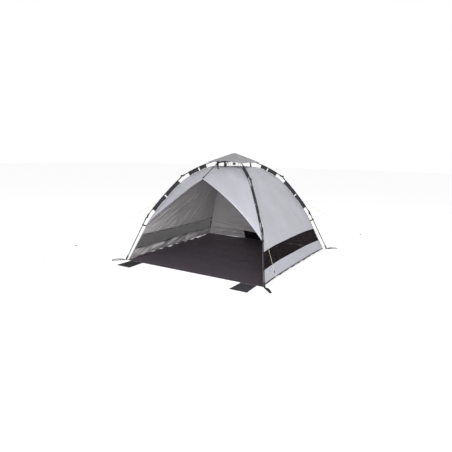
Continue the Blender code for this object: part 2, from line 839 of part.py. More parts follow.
def build_porch_strut(collection, hub):
    arm_pivot = pivot_empty("pivot_porch_arm", upright(PORCH_PIVOT), PORCH_AZIMUTH, hub)
    rod_pivot = pivot_empty("pivot_porch_rod", upright(PORCH_PIN), PORCH_AZIMUTH, arm_pivot)
    arm_points = rod_points(PORCH_ARM, 2)
    rod_start = PORCH_ROD.start + PORCH_ROD.chord * TONGUE_REACH
    rod_line = [upright(rod_start), upright(rod_start.lerp(PORCH_ROD.end, 0.5)), upright(PORCH_ROD.end)]
    arm = rod_with_tongue(PORCH_PIVOT, arm_points, PORCH_ARM_RADIUS)
    rod = rod_with_tongue(PORCH_PIN, rod_line, PORCH_ROD_RADIUS)
    joint = knuckle(PORCH_JOINT, PORCH_PIN, PORCH_ARM.chord, PORCH_ARM_RADIUS)
    fit(collection, arm, "porch_arm", "fibreglass", arm_pivot, PORCH_AZIMUTH)
    fit(collection, joint, "porch_knuckle", "plastic", arm_pivot, PORCH_AZIMUTH)
    fit(collection, rod, "porch_rod", "fibreglass", rod_pivot, PORCH_AZIMUTH)


def build_canopy(collection, ground):
    left, right = ((-1, 1), (-1, -1)), ((1, -1), (1, 1))
    rear = ((1, 1), (-1, 1))
    panels = [
        ("right_wall", wall_panel(*right, True), "canopy_cloth"),
        ("right_mesh_window", window_panel(*right), "mesh_cloth"),
        ("left_wall", wall_panel(*left, True), "canopy_cloth"),
        ("left_mesh_window", window_panel(*left), "mesh_cloth"),
        ("back_wall", wall_panel(*rear, False), "canopy_cloth"),
        ("roof_panel", roof_panel(), "canopy_cloth"),
        ("front_panel_left", front_panel(-1), "canopy_cloth"),
        ("front_panel_right", front_panel(1), "canopy_cloth"),
        ("groundsheet", groundsheet(), "ground_cloth"),
        ("inner_pocket", inner_pocket(), "mesh_cloth"),
    ]
    for name, panel, finish in panels:
        fit(collection, panel, name, finish, ground)


def build_shelter():
    clear_scene()
    shelter = new_collection("beach_shelter")
    ground = pivot_empty("ground", Vector((0, 0, 0)), 0, None)
    hub = pivot_empty("pivot_hub", Vector((0, 0, HUB_PIVOT[1])), 0, ground)
    pull = pivot_empty("pivot_hub_pull", Vector((0, 0, HUB_BASE)), 0, hub)
    fit(shelter, hub_body(), "hub_body", "plastic", hub)
    fit(shelter, hub_release_pull(), "hub_release_pull", "plastic", pull)
    fit(shelter, top_cap(), "top_cap", "cap_cloth", hub)
    build_porch_strut(shelter, hub)
    for leg in LEGS:
        build_leg(shelter, leg, ground, hub)
    build_canopy(shelter, ground)
    for side, name in ((-1, "left"), (1, "right")):
        place = Vector((side * sum(SAND_POCKET_X) / 2, SAND_POCKET_HINGE_Y, GROUND_CLOTH * 2))
        hinge = pivot_empty(f"pivot_sand_pocket_{name}", place, 0, ground)
        fit(shelter, sand_pocket(side), f"sand_pocket_{name}", "webbing", hinge)


build_shelter()
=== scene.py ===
"""Looks for the quick-up dome beach shelter: cloth panels, trims, cords, materials, light and camera.

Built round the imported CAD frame. Metres, +Z up, origin on the ground under the hub, open front towards -Y.
"""

import math

import bmesh
import bpy
import numpy as np
from mathutils import Matrix, Vector


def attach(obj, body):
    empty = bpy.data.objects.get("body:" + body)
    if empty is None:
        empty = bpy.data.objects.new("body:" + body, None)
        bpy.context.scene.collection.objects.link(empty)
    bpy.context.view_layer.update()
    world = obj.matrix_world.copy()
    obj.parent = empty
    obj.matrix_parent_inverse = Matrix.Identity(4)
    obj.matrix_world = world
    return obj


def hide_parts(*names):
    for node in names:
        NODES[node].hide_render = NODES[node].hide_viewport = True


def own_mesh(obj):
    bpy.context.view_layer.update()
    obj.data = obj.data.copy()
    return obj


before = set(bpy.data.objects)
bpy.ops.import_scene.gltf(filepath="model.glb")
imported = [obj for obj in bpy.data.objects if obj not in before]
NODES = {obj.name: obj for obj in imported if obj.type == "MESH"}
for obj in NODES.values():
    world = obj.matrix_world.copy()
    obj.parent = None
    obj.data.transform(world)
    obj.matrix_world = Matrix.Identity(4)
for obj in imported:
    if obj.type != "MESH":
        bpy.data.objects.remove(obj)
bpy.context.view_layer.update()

# ---------------------------------------------------------------- dimensions shared with the CAD model
HUB_PIVOT = (0.055, 1.338)
UPPER_JOINT = (0.714, 1.080)
LOWER_JOINT = (1.178, 0.553)
FOOT_TIP_HEIGHT = 0.010
UPPER_BOW = 0.037
MIDDLE_BOW = 0.015
REAR_FOOT = (1.050, 1.050)
FRONT_FOOT = (0.985, -1.070)
ROD_RADIUS = 0.0055
SEAM_OFFSET = 0.050
ROOF_CORNER_REACH = 0.386
ROOF_CENTRE = 1.230
ROOF_EDGE_ARCH = 0.025
CLIP_REACH = 1.231
CLIP_RING = 0.0086
CLIP_HOOK_RADIUS = 0.0034
HEM_HEIGHT = 0.004
REAR_HEM = (1.010, 1.010)
FRONT_HEM = (0.962, -1.052)
FLOOR_FRONT = (0.965, -1.068)
FLOOR_REAR = (1.008, 1.008)
PEAK = np.array((0.0, -0.774, 1.083))
EDGE_BULGE = np.array((0.020, 0.040, 0.027))
RIDGE_RISE = 0.020
WINDOW_BASE = 0.140
WINDOW_TOP = 0.320
CAP_APEX = 1.404
CAP_REACH = 0.375
CAP_CORNER_LIFT = 0.016
CAP_FRONT_HEIGHT = 1.296
PORCH_PIVOT = (0.052, 1.292)
PORCH_JOINT = (0.430, 1.272)
PORCH_TIP = (0.774, 1.092)
UPPER_SLEEVE = (0.395, 0.487, 0.502, 0.632)
MIDDLE_SLEEVE = (0.767, 0.941, 0.951, 1.104)
POCKET_HALF_WIDTH = 0.300
POCKET_BASE = 0.015
POCKET_TOP = 0.165
SAND_POCKET_X = (0.700, 0.900)
SAND_POCKET_HINGE_Y = -1.073
SAND_POCKET_FRONT_Y = -1.322
GUY_START_REACH = 1.050
GUY_START_OFFSET = 0.012
GUY_HEIGHT = 0.004
GUY_RADIUS = 0.0015
FOOT_BASE_RADIUS = 0.011
STRAP_LENGTH = 0.170
STRAP_WIDTH = 0.024
STRAP_CLOTH = 0.0012
STRAP_ARCH = 0.014

LEGS = {
    "front_left": (225, FRONT_FOOT, 1, 2.450),
    "front_right": (315, FRONT_FOOT, -1, 1.765),
    "rear_right": (45, REAR_FOOT, 1, 2.450),
    "rear_left": (135, REAR_FOOT, 1, 2.450),
}
ROOT_HALF = math.sqrt(0.5)


# ---------------------------------------------------------------- the legs' centre lines
class Span:
    """One rod's centre line in its leg's plane (reach, height): a chord with a shallow bow outwards."""

    def __init__(self, start, end, bow=0.0):
        self.start, self.end, self.bow = np.array(start), np.array(end), bow
        self.length = float(np.linalg.norm(self.end - self.start))
        self.chord = (self.end - self.start) / self.length
        self.outward = np.array((-self.chord[1], self.chord[0]))

    def point(self, share, offset=0.0):
        on_chord = self.start + (self.end - self.start) * share
        return on_chord + self.outward * (4 * self.bow * share * (1 - share)) + self.normal(share) * offset

    def direction(self, share):
        along = self.chord + self.outward * (4 * self.bow * (1 - 2 * share) / self.length)
        return along / np.linalg.norm(along)

    def normal(self, share):
        along = self.direction(share)
        return np.array((-along[1], along[0]))

    def share_at(self, reach):
        low, high = 0.0, 1.0
        for _ in range(40):
            middle = (low + high) / 2
            if self.point(middle)[0] < reach:
                low = middle
            else:
                high = middle
        return low


UPPER = Span(HUB_PIVOT, UPPER_JOINT, UPPER_BOW)
MIDDLE = Span(UPPER_JOINT, LOWER_JOINT, MIDDLE_BOW)
LOWER = Span(LOWER_JOINT, (REAR_FOOT[0] / ROOT_HALF, FOOT_TIP_HEIGHT))


def to_row(points, azimuth):
    """Points (reach, sideways, height) in the row frame."""
    a = math.radians(azimuth)
    points = np.atleast_2d(points)
    x = points[:, 0] * math.cos(a) - points[:, 1] * math.sin(a)
    y = points[:, 0] * math.sin(a) + points[:, 1] * math.cos(a)
    return np.stack([x, y, points[:, 2]], 1)


def leg_space(points, azimuth, sideways=0.0):
    """Points (reach, height) of a leg's plane, in the row frame."""
    points = np.atleast_2d(points)
    side = np.broadcast_to(sideways, points.shape[:1])
    return to_row(np.stack([points[:, 0], side, points[:, 1]], 1), azimuth)


def run_along(points):
    """Distance from the first point to each one, along the line through them."""
    return np.concatenate([[0], np.cumsum(np.linalg.norm(np.diff(points, axis=0), axis=1))])


def smooth_seam():
    """The corner seam from the roof's corner down to the clip, evenly spaced and rounded at the knuckle."""
    raw = []
    begin = UPPER.share_at(ROOF_CORNER_REACH + 0.016)
    for span, first in ((UPPER, begin), (MIDDLE, 0.0)):
        raw += [span.point(first + (1 - first) * k / 60, -SEAM_OFFSET) for k in range(61)]
    raw.append(LOWER.point(LOWER.share_at(CLIP_REACH), -SEAM_OFFSET))
    kept = [raw[0]]
    for point in raw[1:]:
        if point[1] < kept[-1][1] - 0.001 and point[0] > kept[-1][0]:
            kept.append(point)
    kept = np.array(kept)
    along = run_along(kept)
    even = np.linspace(0, along[-1], 161)
    line = np.stack([np.interp(even, along, kept[:, k]) for k in (0, 1)], 1)
    for _ in range(40):
        line[1:-1] = (line[:-2] + 2 * line[1:-1] + line[2:]) / 4
    return line


SEAM = smooth_seam()
ROOF_HEIGHT = float(SEAM[0, 1])
ROOF_SIDE = float(SEAM[0, 0]) * ROOT_HALF
CLIP_HEIGHT = float(SEAM[-1, 1])
CLIP_SIDE = float(SEAM[-1, 0]) * ROOT_HALF


def corner(side_x, side_y, height):
    """Points of a corner seam at these heights."""
    height = np.asarray(height, float)
    hem = REAR_HEM if side_y > 0 else FRONT_HEM
    upper = np.interp(height, SEAM[::-1, 1], SEAM[::-1, 0]) * ROOT_HALF
    share = np.clip(height / CLIP_HEIGHT, 0, 1)
    x = np.where(height >= CLIP_HEIGHT, upper, hem[0] + (CLIP_SIDE - hem[0]) * share)
    y = np.where(height >= CLIP_HEIGHT, upper, abs(hem[1]) + (CLIP_SIDE - abs(hem[1])) * share)
    return np.stack([side_x * x, side_y * y, height], -1)


# ---------------------------------------------------------------- cloth shape helpers
def waves(x, y, seed, count, shortest, longest, lean=0.0, spread=math.pi):
    """A smooth field of height about 1: sines of mixed length, all ways round or about one lean."""
    draw = np.random.default_rng(seed)
    total = np.zeros(np.broadcast(x, y).shape)
    for _ in range(count):
        length = shortest * (longest / shortest) ** draw.random()
        turn = lean + (draw.random() - 0.5) * 2 * spread
        phase = draw.random() * 2 * math.pi
        total += np.sin((x * math.cos(turn) + y * math.sin(turn)) * 2 * math.pi / length + phase)
    return total / math.sqrt(count)


def crease(x, y, start, end, width):
    """A soft ridge from start to end, of height 1 in its middle."""
    start, end = np.array(start, float), np.array(end, float)
    run = end - start
    length = np.linalg.norm(run)
    along = ((x - start[0]) * run[0] + (y - start[1]) * run[1]) / length**2
    across = ((x - start[0]) * -run[1] + (y - start[1]) * run[0]) / length
    inside = np.clip(along, 0, 1)
    return np.exp(-((across / width) ** 2)) * (np.sin(inside * math.pi) ** 0.8) * (along > 0) * (along < 1)


def creases(x, y, seed, count, region, lean, spread, lengths, widths):
    """Many soft ridges at drawn places inside region (x0, y0, x1, y1), each running about one way."""
    draw = np.random.default_rng(seed)
    total = np.zeros(np.broadcast(x, y).shape)
    for _ in range(count):
        middle = np.array((draw.uniform(region[0], region[2]), draw.uniform(region[1], region[3])))
        turn = lean + draw.uniform(-spread, spread)
        half = draw.uniform(*lengths) / 2 * np.array((math.cos(turn), math.sin(turn)))
        total += draw.uniform(0.5, 1.0) * crease(x, y, middle - half, middle + half, draw.uniform(*widths))
    return total


def fan(x, y, centre, reach, folds, seed):
    """Short tension folds that spread from a point where the cloth is held."""
    dx, dy = x - centre[0], y - centre[1]
    distance = np.hypot(dx, dy) + 1e-6
    angle = np.arctan2(dy, dx)
    rise = np.clip(distance / (0.25 * reach), 0, 1) * np.exp(-((distance / reach) ** 2))
    return np.cos(angle * folds + seed) * rise


def spaced(low, high, count):
    return np.linspace(low, high, count)


def smoothstep(value, low, high):
    share = np.clip((value - low) / (high - low), 0, 1)
    return share * share * (3 - 2 * share)


def as_grid(u, v):
    return np.broadcast_arrays(np.asarray(u, float), np.asarray(v, float))


class Panel:
    """A sewn panel: a base surface over u and v from 0 to 1, with relief along its outward normal."""

    def __init__(self, base, relief, width, length, outward):
        self.base, self.relief = base, relief
        self.width, self.length, self.outward = width, length, np.array(outward, float)

    def normal(self, u, v):
        step = 1e-3
        du = self.base(np.clip(u + step, 0, 1), v) - self.base(np.clip(u - step, 0, 1), v)
        dv = self.base(u, np.clip(v + step, 0, 1)) - self.base(u, np.clip(v - step, 0, 1))
        n = np.cross(du, dv)
        n /= np.linalg.norm(n, axis=-1, keepdims=True)
        return n * np.where((n @ self.outward)[..., None] < 0, -1.0, 1.0)

    def at(self, u, v, lift=0.0):
        u, v = as_grid(u, v)
        height = self.relief(u * self.width, v * self.length, u, v) + lift
        return self.base(u, v) + self.normal(u, v) * height[..., None]


def link(obj):
    bpy.context.scene.collection.objects.link(obj)
    return obj


def mesh_object(name, bm):
    mesh = bpy.data.meshes.new(name)
    bm.to_mesh(mesh)
    bm.free()
    mesh.shade_smooth()
    return link(bpy.data.objects.new(name, mesh))


def grid_object(name, points, thickness, materials, uv, missing=None, outward=None):
    """A cloth of even thickness from a grid of points. materials: outer face, then inner face and rim."""
    rows, columns = points.shape[:2]
    flip = False
    if outward is not None:
        middle = (rows // 2, columns // 2)
        a = points[middle[0], middle[1] + 1] - points[middle]
        b = points[middle[0] + 1, middle[1]] - points[middle]
        flip = np.dot(np.cross(a, b), outward) < 0
    bm = bmesh.new()
    layer = bm.loops.layers.uv.new("cloth")
    verts = [[bm.verts.new(points[j, i]) for i in range(columns)] for j in range(rows)]
    where = {}
    for j in range(rows):
        for i in range(columns):
            where[verts[j][i]] = (float(uv[0][j, i]), float(uv[1][j, i]))
    for j in range(rows - 1):
        for i in range(columns - 1):
            if missing is not None and missing[j, i]:
                continue
            loop = [verts[j][i], verts[j][i + 1], verts[j + 1][i + 1], verts[j + 1][i]]
            face = bm.faces.new(loop[::-1] if flip else loop)
            for corner_loop in face.loops:
                corner_loop[layer].uv = where[corner_loop.vert]
    bmesh.ops.delete(bm, geom=[v for v in bm.verts if not v.link_faces], context="VERTS")
    obj = mesh_object(name, bm)
    for each in materials:
        obj.data.materials.append(each)
    thicken(obj, thickness, len(materials) - 1)
    return obj


def thicken(obj, thickness, inner):
    solid = obj.modifiers.new("cloth", "SOLIDIFY")
    solid.thickness = thickness
    solid.offset = -1.0
    solid.material_offset = inner
    solid.material_offset_rim = inner
    graph = bpy.context.evaluated_depsgraph_get()
    graph.update()
    mesh = bpy.data.meshes.new_from_object(obj.evaluated_get(graph))
    obj.modifiers.clear()
    obj.data = mesh


CANOPY_CLOTH = 0.0008


def panel_object(name, panel, columns, rows, materials, thickness=CANOPY_CLOTH, missing=None):
    u, v = np.meshgrid(columns, rows)
    gaps = None
    if missing is not None:
        middle_u = (u[:-1, :-1] + u[1:, 1:]) / 2
        middle_v = (v[:-1, :-1] + v[1:, 1:]) / 2
        gaps = missing(middle_u, middle_v)
    uv = (u * panel.width, v * panel.length)
    return grid_object(name, panel.at(u, v), thickness, materials, uv, gaps, panel.outward)


def tape_object(name, panel, u_ends, v_ends, across, steps, material, lift, thickness=0.0007):
    """A tape sewn to a panel, from one (u, v) to another. across is its width as a step in (u, v)."""
    share = np.linspace(0, 1, steps)[None, :]
    over = np.linspace(0, 1, 3)[:, None]
    u = u_ends[0] + (u_ends[1] - u_ends[0]) * share + across[0] * over
    v = v_ends[0] + (v_ends[1] - v_ends[0]) * share + across[1] * over
    points = panel.at(np.clip(u, 0, 1), np.clip(v, 0, 1), lift)
    run = run_along(points[1])
    wide = np.linalg.norm(points[2] - points[0], axis=1).mean()
    uv = (np.broadcast_to(run[None, :], u.shape), np.broadcast_to(over * wide, u.shape))
    outward = panel.outward * (1 if lift >= 0 else -1)
    return grid_object(name, points, thickness, [material], uv, None, outward)


def tube_mesh(name, points, radius, material, sides=10):
    """A round tube along points, with closed ends."""
    points = np.array(points, float)
    tangents = np.gradient(points, axis=0)
    tangents /= np.linalg.norm(tangents, axis=1, keepdims=True)
    reference = np.array((0.0, 0.0, 1.0))
    if abs(tangents[0] @ reference) > 0.9:
        reference = np.array((1.0, 0.0, 0.0))
    bm = bmesh.new()
    layer = bm.loops.layers.uv.new("cloth")
    along = run_along(points)
    radii = np.broadcast_to(radius, len(points))
    rings = []
    side = np.cross(tangents[0], reference)
    for k, (point, tangent) in enumerate(zip(points, tangents)):
        side = side - tangent * (side @ tangent)
        side /= np.linalg.norm(side)
        up = np.cross(tangent, side)
        ring = []
        for a in range(sides):
            angle = 2 * math.pi * a / sides
            offset = side * math.cos(angle) + up * math.sin(angle)
            ring.append(bm.verts.new(point + offset * radii[k]))
        rings.append(ring)
    for k in range(len(rings) - 1):
        for a in range(sides):
            b = (a + 1) % sides
            face = bm.faces.new((rings[k][a], rings[k][b], rings[k + 1][b], rings[k + 1][a]))
            marks = ((a, k), (a + 1, k), (a + 1, k + 1), (a, k + 1))
            for loop, (m, n) in zip(face.loops, marks):
                loop[layer].uv = (m / sides * 2 * math.pi * radii[n], along[n])
    bm.faces.new(rings[0][::-1])
    bm.faces.new(rings[-1])
    bmesh.ops.recalc_face_normals(bm, faces=bm.faces)
    obj = mesh_object(name, bm)
    obj.data.materials.append(material)
    return obj


def strap_mesh(name, points, across, width, thickness, material):
    """A flat strap along points; across gives its width direction at each point."""
    points = np.array(points, float)
    across = np.broadcast_to(np.array(across, float), points.shape)
    across = across / np.linalg.norm(across, axis=1, keepdims=True)
    rows = np.stack([points - across * width / 2, points, points + across * width / 2])
    along = run_along(points)
    uv = (np.broadcast_to(along, rows.shape[:2]), np.array([[0.0], [width / 2], [width]]) + 0 * along)
    return grid_object(name, rows, thickness, [material], uv)


def joined(name, parts):
    """One object from several, keeping their materials."""
    bm = bmesh.new()
    slots = []
    for part in parts:
        start = len(bm.faces)
        bm.from_mesh(part.data)
        bm.faces.ensure_lookup_table()
        places = []
        for each in part.data.materials:
            if each not in slots:
                slots.append(each)
            places.append(slots.index(each))
        for face in bm.faces[start:]:
            face.material_index = places[min(face.material_index, len(places) - 1)]
        bpy.data.objects.remove(part)
    obj = mesh_object(name, bm)
    for each in slots:
        obj.data.materials.append(each)
    return obj


# ---------------------------------------------------------------- materials
def srgb(red, green, blue):
    """Linear colour from an 8-bit one."""
    values = [c / 255 for c in (red, green, blue)]
    return tuple(c / 12.92 if c <= 0.04045 else ((c + 0.055) / 1.055) ** 2.4 for c in values) + (1.0,)


class Shader:
    """A Principled material and short names for the nodes that feed it."""

    def __init__(self, name, colour, roughness, metallic=0.0, **sockets):
        self.material = bpy.data.materials.new(name)
        self.material.use_nodes = True
        self.tree = self.material.node_tree
        self.bsdf = self.tree.nodes["Principled BSDF"]
        self.set("Base Color", colour)
        self.set("Roughness", roughness)
        self.set("Metallic", metallic)
        self.set("Emission Color", (1.0, 1.0, 1.0, 1.0))
        for key, value in sockets.items():
            self.set(key.replace("_", " "), value)

    def set(self, socket, value):
        self.bsdf.inputs[socket].default_value = value

    def node(self, kind, **settings):
        made = self.tree.nodes.new("ShaderNode" + kind)
        for key, value in settings.items():
            setattr(made, key, value)
        return made

    def link(self, out, into):
        self.tree.links.new(out, into)

    def coordinates(self, kind="UV", scale=(1, 1, 1), turn=0.0):
        source = self.node("TexCoord")
        mapping = self.node("Mapping")
        mapping.inputs["Scale"].default_value = scale
        mapping.inputs["Rotation"].default_value = (0, 0, turn)
        self.link(source.outputs[kind], mapping.inputs["Vector"])
        return mapping.outputs["Vector"]

    def noise(self, vector, scale, detail=3.0, roughness=0.55):
        made = self.node("TexNoise")
        made.inputs["Scale"].default_value = scale
        made.inputs["Detail"].default_value = detail
        made.inputs["Roughness"].default_value = roughness
        self.link(vector, made.inputs["Vector"])
        return made.outputs["Fac"]

    def noise_colour(self, vector, scale):
        made = self.node("TexNoise")
        made.inputs["Scale"].default_value = scale
        self.link(vector, made.inputs["Vector"])
        return made.outputs["Color"]

    def bands(self, vector, period, direction):
        made = self.node("TexWave", wave_type="BANDS", bands_direction=direction, wave_profile="SIN")
        made.inputs["Scale"].default_value = 2 * math.pi / 20 / period
        self.link(vector, made.inputs["Vector"])
        return made.outputs["Fac"]

    def math(self, operation, first, second=None):
        made = self.node("Math", operation=operation)
        for socket, value in zip(made.inputs, (first, second)):
            if value is None:
                continue
            if isinstance(value, (int, float)):
                socket.default_value = value
            else:
                self.link(value, socket)
        return made.outputs["Value"]

    def remap(self, value, low, high, to_low, to_high):
        made = self.node("MapRange")
        for key, number in (("From Min", low), ("From Max", high), ("To Min", to_low), ("To Max", to_high)):
            made.inputs[key].default_value = number
        self.link(value, made.inputs["Value"])
        return made.outputs["Result"]

    def mix(self, share, first, second):
        made = self.node("Mix", data_type="RGBA")
        for socket, value in ((made.inputs[6], first), (made.inputs[7], second)):
            if isinstance(value, tuple):
                socket.default_value = value
            else:
                self.link(value, socket)
        if isinstance(share, (int, float)):
            made.inputs[0].default_value = share
        else:
            self.link(share, made.inputs[0])
        return made.outputs[2]

    def bump(self, height, strength, distance, below=None):
        made = self.node("Bump")
        made.inputs["Strength"].default_value = strength
        made.inputs["Distance"].default_value = distance
        self.link(height, made.inputs["Height"])
        if below is not None:
            self.link(below, made.inputs["Normal"])
        self.link(made.outputs["Normal"], self.bsdf.inputs["Normal"])
        return made.outputs["Normal"]

    def weave(self, vector, period):
        over = self.bands(vector, period, "X")
        under = self.bands(vector, period, "Y")
        return self.math("MULTIPLY", over, under)


def scaled(colour, factor):
    return tuple(min(1.0, c * factor) for c in colour[:3]) + (1.0,)


def cloth_shader(name, colour, roughness, metallic=0.0, period=0.0016, mottle=0.07, dirt=None, **sockets):
    """Plain-weave cloth: weave relief, faint shade changes from handling, and soft fold marks."""
    s = Shader(name, colour, roughness, metallic, **sockets)
    place = s.coordinates("UV")
    thread = s.weave(place, period)
    large = s.noise(place, 2.3, 3.0)
    fine = s.noise(place, 38.0, 4.0, 0.7)
    paler = scaled(colour, 1 + mottle)
    shade = s.mix(s.remap(large, 0.3, 0.7, 0.0, 1.0), scaled(colour, 1 - mottle), paler)
    shade = s.mix(s.remap(fine, 0.35, 0.75, 0.0, 0.35), shade, scaled(colour, 1 - 1.6 * mottle))
    shade = s.mix(s.remap(thread, 0.0, 1.0, 0.25, 0.0), shade, scaled(colour, 0.72))
    if dirt is not None:
        shade = s.mix(s.remap(s.noise(place, 7.0, 6.0, 0.75), 0.55, 0.85, 0.0, 0.3), shade, dirt)
    s.link(shade, s.bsdf.inputs["Base Color"])
    s.link(s.remap(fine, 0.2, 0.8, roughness - 0.06, roughness + 0.07), s.bsdf.inputs["Roughness"])
    folds = s.noise(s.coordinates("UV", (1.0, 3.2, 1.0), 0.5), 9.0, 5.0, 0.62)
    first = s.bump(folds, 0.35, 0.004)
    s.bump(thread, 0.25, 0.0003, first)
    return s.material


def tape_shader(name, colour, roughness, width, stitch, rib=0.0008, **sockets):
    """Tape or webbing: ribs along it and a row of stitches near each edge. V runs across, in metres."""
    s = Shader(name, colour, roughness, 0.0, **sockets)
    place = s.coordinates("UV")
    ribs = s.weave(place, rib)
    split = s.node("SeparateXYZ")
    s.link(place, split.inputs["Vector"])
    along, across = split.outputs["X"], split.outputs["Y"]
    edge = s.math("MINIMUM", across, s.math("SUBTRACT", width, across))
    on_row = s.math("LESS_THAN", s.math("ABSOLUTE", s.math("SUBTRACT", edge, 0.0024)), 0.0006)
    dash = s.math("GREATER_THAN", s.math("FRACT", s.math("DIVIDE", along, 0.0045)), 0.3)
    thread = s.math("MULTIPLY", on_row, dash)
    shade = s.mix(s.remap(ribs, 0.0, 1.0, 0.35, 0.0), colour, scaled(colour, 0.6))
    shade = s.mix(s.remap(s.noise(place, 25.0, 3.0), 0.35, 0.75, 0.0, 0.3), shade, scaled(colour, 1.35))
    shade = s.mix(thread, shade, stitch)
    s.link(shade, s.bsdf.inputs["Base Color"])
    first = s.bump(ribs, 0.4, 0.0004)
    s.bump(thread, 0.6, 0.0005, first)
    return s.material


def mesh_shader(name, colour, period=0.0022, cover=(0.76, 0.97), folded=0.0):
    """Fine netting: threads both ways, small holes between. Slanting folds let less light through."""
    s = Shader(name, colour, 0.85, Specular_IOR_Level=0.03)
    place = s.coordinates("UV")
    over = s.bands(place, period, "X")
    under = s.bands(place, period, "Y")
    thread = s.math("MAXIMUM", over, under)
    shut = s.remap(thread, 0.35, 0.85, *cover)
    if folded:
        wobble = s.node("VectorMath", operation="MULTIPLY_ADD")
        s.link(s.noise_colour(place, 5.0), wobble.inputs[0])
        wobble.inputs[1].default_value = (0.05, 0.05, 0.0)
        s.link(s.coordinates("UV", turn=FOLD_TURN), wobble.inputs[2])
        lines = s.remap(s.bands(wobble.outputs["Vector"], FOLD_PERIOD, "X"), 0.30, 1.0, 0.0, folded)
        shut = s.math("ADD", shut, lines)
    s.link(shut, s.bsdf.inputs["Alpha"])
    folds = s.noise(place, 6.0, 4.0)
    shade = s.mix(s.remap(folds, 0.3, 0.7, 0.0, 1.0), scaled(colour, 0.8), scaled(colour, 1.3))
    s.link(shade, s.bsdf.inputs["Base Color"])
    s.bump(thread, 0.4, 0.0004)
    return s.material


def plastic_shader(name, colour, roughness):
    """Moulded plastic: fine grain, rubbed edges a little lighter."""
    s = Shader(name, colour, roughness, 0.0, Specular_IOR_Level=0.22)
    place = s.coordinates("Object")
    wear = s.noise(place, 60.0, 6.0, 0.7)
    rub = s.node("NewGeometry")
    edges = s.remap(rub.outputs["Pointiness"], 0.52, 0.62, 0.0, 0.45)
    shade = s.mix(s.remap(wear, 0.4, 0.8, 0.0, 0.4), colour, scaled(colour, 1.7))
    shade = s.mix(edges, shade, scaled(colour, 2.6))
    s.link(shade, s.bsdf.inputs["Base Color"])
    s.link(s.remap(wear, 0.2, 0.8, roughness - 0.08, roughness + 0.12), s.bsdf.inputs["Roughness"])
    s.bump(s.noise(place, 900.0, 2.0), 0.12, 0.0002)
    return s.material


def rod_shader(name, colour, roughness):
    """Pultruded fibreglass: fine streaks along the rod under a thin gloss."""
    s = Shader(name, colour, roughness, 0.0, Specular_IOR_Level=0.16)
    place = s.coordinates("Object")
    streaks = s.noise(s.coordinates("Object", (260.0, 260.0, 12.0)), 1.0, 4.0)
    scuffs = s.noise(place, 18.0, 6.0, 0.8)
    shade = s.mix(s.remap(streaks, 0.35, 0.7, 0.0, 0.5), colour, scaled(colour, 1.6))
    shade = s.mix(s.remap(scuffs, 0.60, 0.8, 0.0, 0.4), shade, scaled(colour, 2.4))
    s.link(shade, s.bsdf.inputs["Base Color"])
    s.link(s.remap(scuffs, 0.3, 0.8, roughness - 0.05, roughness + 0.2), s.bsdf.inputs["Roughness"])
    s.bump(streaks, 0.15, 0.0002)
    return s.material


def cord_shader(name, colour, fleck):
    """Braided cord: crossing strands with a darker fleck."""
    s = Shader(name, colour, 0.6, 0.0, Sheen_Weight=0.3)
    one = s.bands(s.coordinates("UV", turn=0.7), 0.0012, "X")
    two = s.bands(s.coordinates("UV", turn=-0.7), 0.0012, "X")
    braid = s.math("MAXIMUM", one, two)
    shade = s.mix(s.remap(braid, 0.4, 1.0, 0.5, 0.0), colour, fleck)
    s.link(shade, s.bsdf.inputs["Base Color"])
    s.bump(braid, 0.5, 0.0003)
    return s.material


FOLD_TURN = -1.41
FOLD_PERIOD = 0.038
SILVER = srgb(161, 161, 169)
LINING = srgb(172, 169, 171)
GREY_CAP = srgb(134, 134, 137)
FLOOR_DARK = srgb(76, 69, 76)
FLOOR_DIRT = srgb(96, 90, 92)
TAPE_WIDTH = 0.012
WEBBING_BLACK = srgb(34, 34, 37)
WEBBING_STITCH = srgb(80, 80, 86)

canopy_outer = cloth_shader("canopy_outer", SILVER, 0.52, 0.05, Sheen_Weight=0.1)
canopy_inner = cloth_shader("canopy_lining", LINING, 0.36, 0.10, mottle=0.09)
CANOPY_FACES = [canopy_outer, canopy_inner]
cap_cloth = cloth_shader("cap_cloth", GREY_CAP, 0.62, 0.0, mottle=0.14, Sheen_Weight=0.1)
floor_cloth = cloth_shader(
    "floor_cloth", FLOOR_DARK, 0.5, period=0.0022, mottle=0.08, dirt=FLOOR_DIRT, Specular_IOR_Level=0.2
)
# The two sand pockets are one cloth. The left one gets a darker copy of it: painted shade, for light that
# falls from the right.
sand_cloths_shaded_and_lit = [
    cloth_shader(name, colour, 0.65, period=0.0022, mottle=0.12, Specular_IOR_Level=0.12)
    for name, colour in (("sand_pocket_painted_shade", srgb(40, 39, 43)), ("sand_pocket_cloth", srgb(62, 60, 64)))
]
sleeve_cloth = cloth_shader(
    "sleeve_cloth", srgb(46, 45, 50), 0.65, period=0.0018, mottle=0.16, Specular_IOR_Level=0.15
)
net = mesh_shader("window_net", srgb(30, 24, 26), cover=(0.44, 0.66), folded=0.30)
pocket_net = mesh_shader("pocket_net", srgb(24, 22, 26), 0.003, (0.97, 1.0))
silver_hem = tape_shader("silver_hem", srgb(168, 169, 176), 0.55, TAPE_WIDTH, srgb(206, 206, 212))
lining_hem = tape_shader("lining_hem", srgb(120, 118, 120), 0.45, TAPE_WIDTH, srgb(150, 150, 152))
dark_tape = tape_shader(
    "dark_tape", srgb(66, 65, 70), 0.6, TAPE_WIDTH, srgb(110, 110, 116), Specular_IOR_Level=0.2
)
cap_hem = tape_shader("cap_hem", srgb(138, 138, 141), 0.6, TAPE_WIDTH, srgb(170, 170, 172))
webbing, narrow_webbing = (
    tape_shader(name, WEBBING_BLACK, 0.62, width, WEBBING_STITCH, rib=rib, Specular_IOR_Level=0.2)
    for name, width, rib in (("webbing", 0.025, 0.0020), ("narrow_webbing", 0.015, 0.0016))
)
plastic = plastic_shader("black_plastic", srgb(26, 26, 28), 0.42)
rod = rod_shader("black_rod", srgb(24, 24, 27), 0.5)
cord = cord_shader("guy_cord", srgb(178, 180, 148), srgb(140, 142, 100))
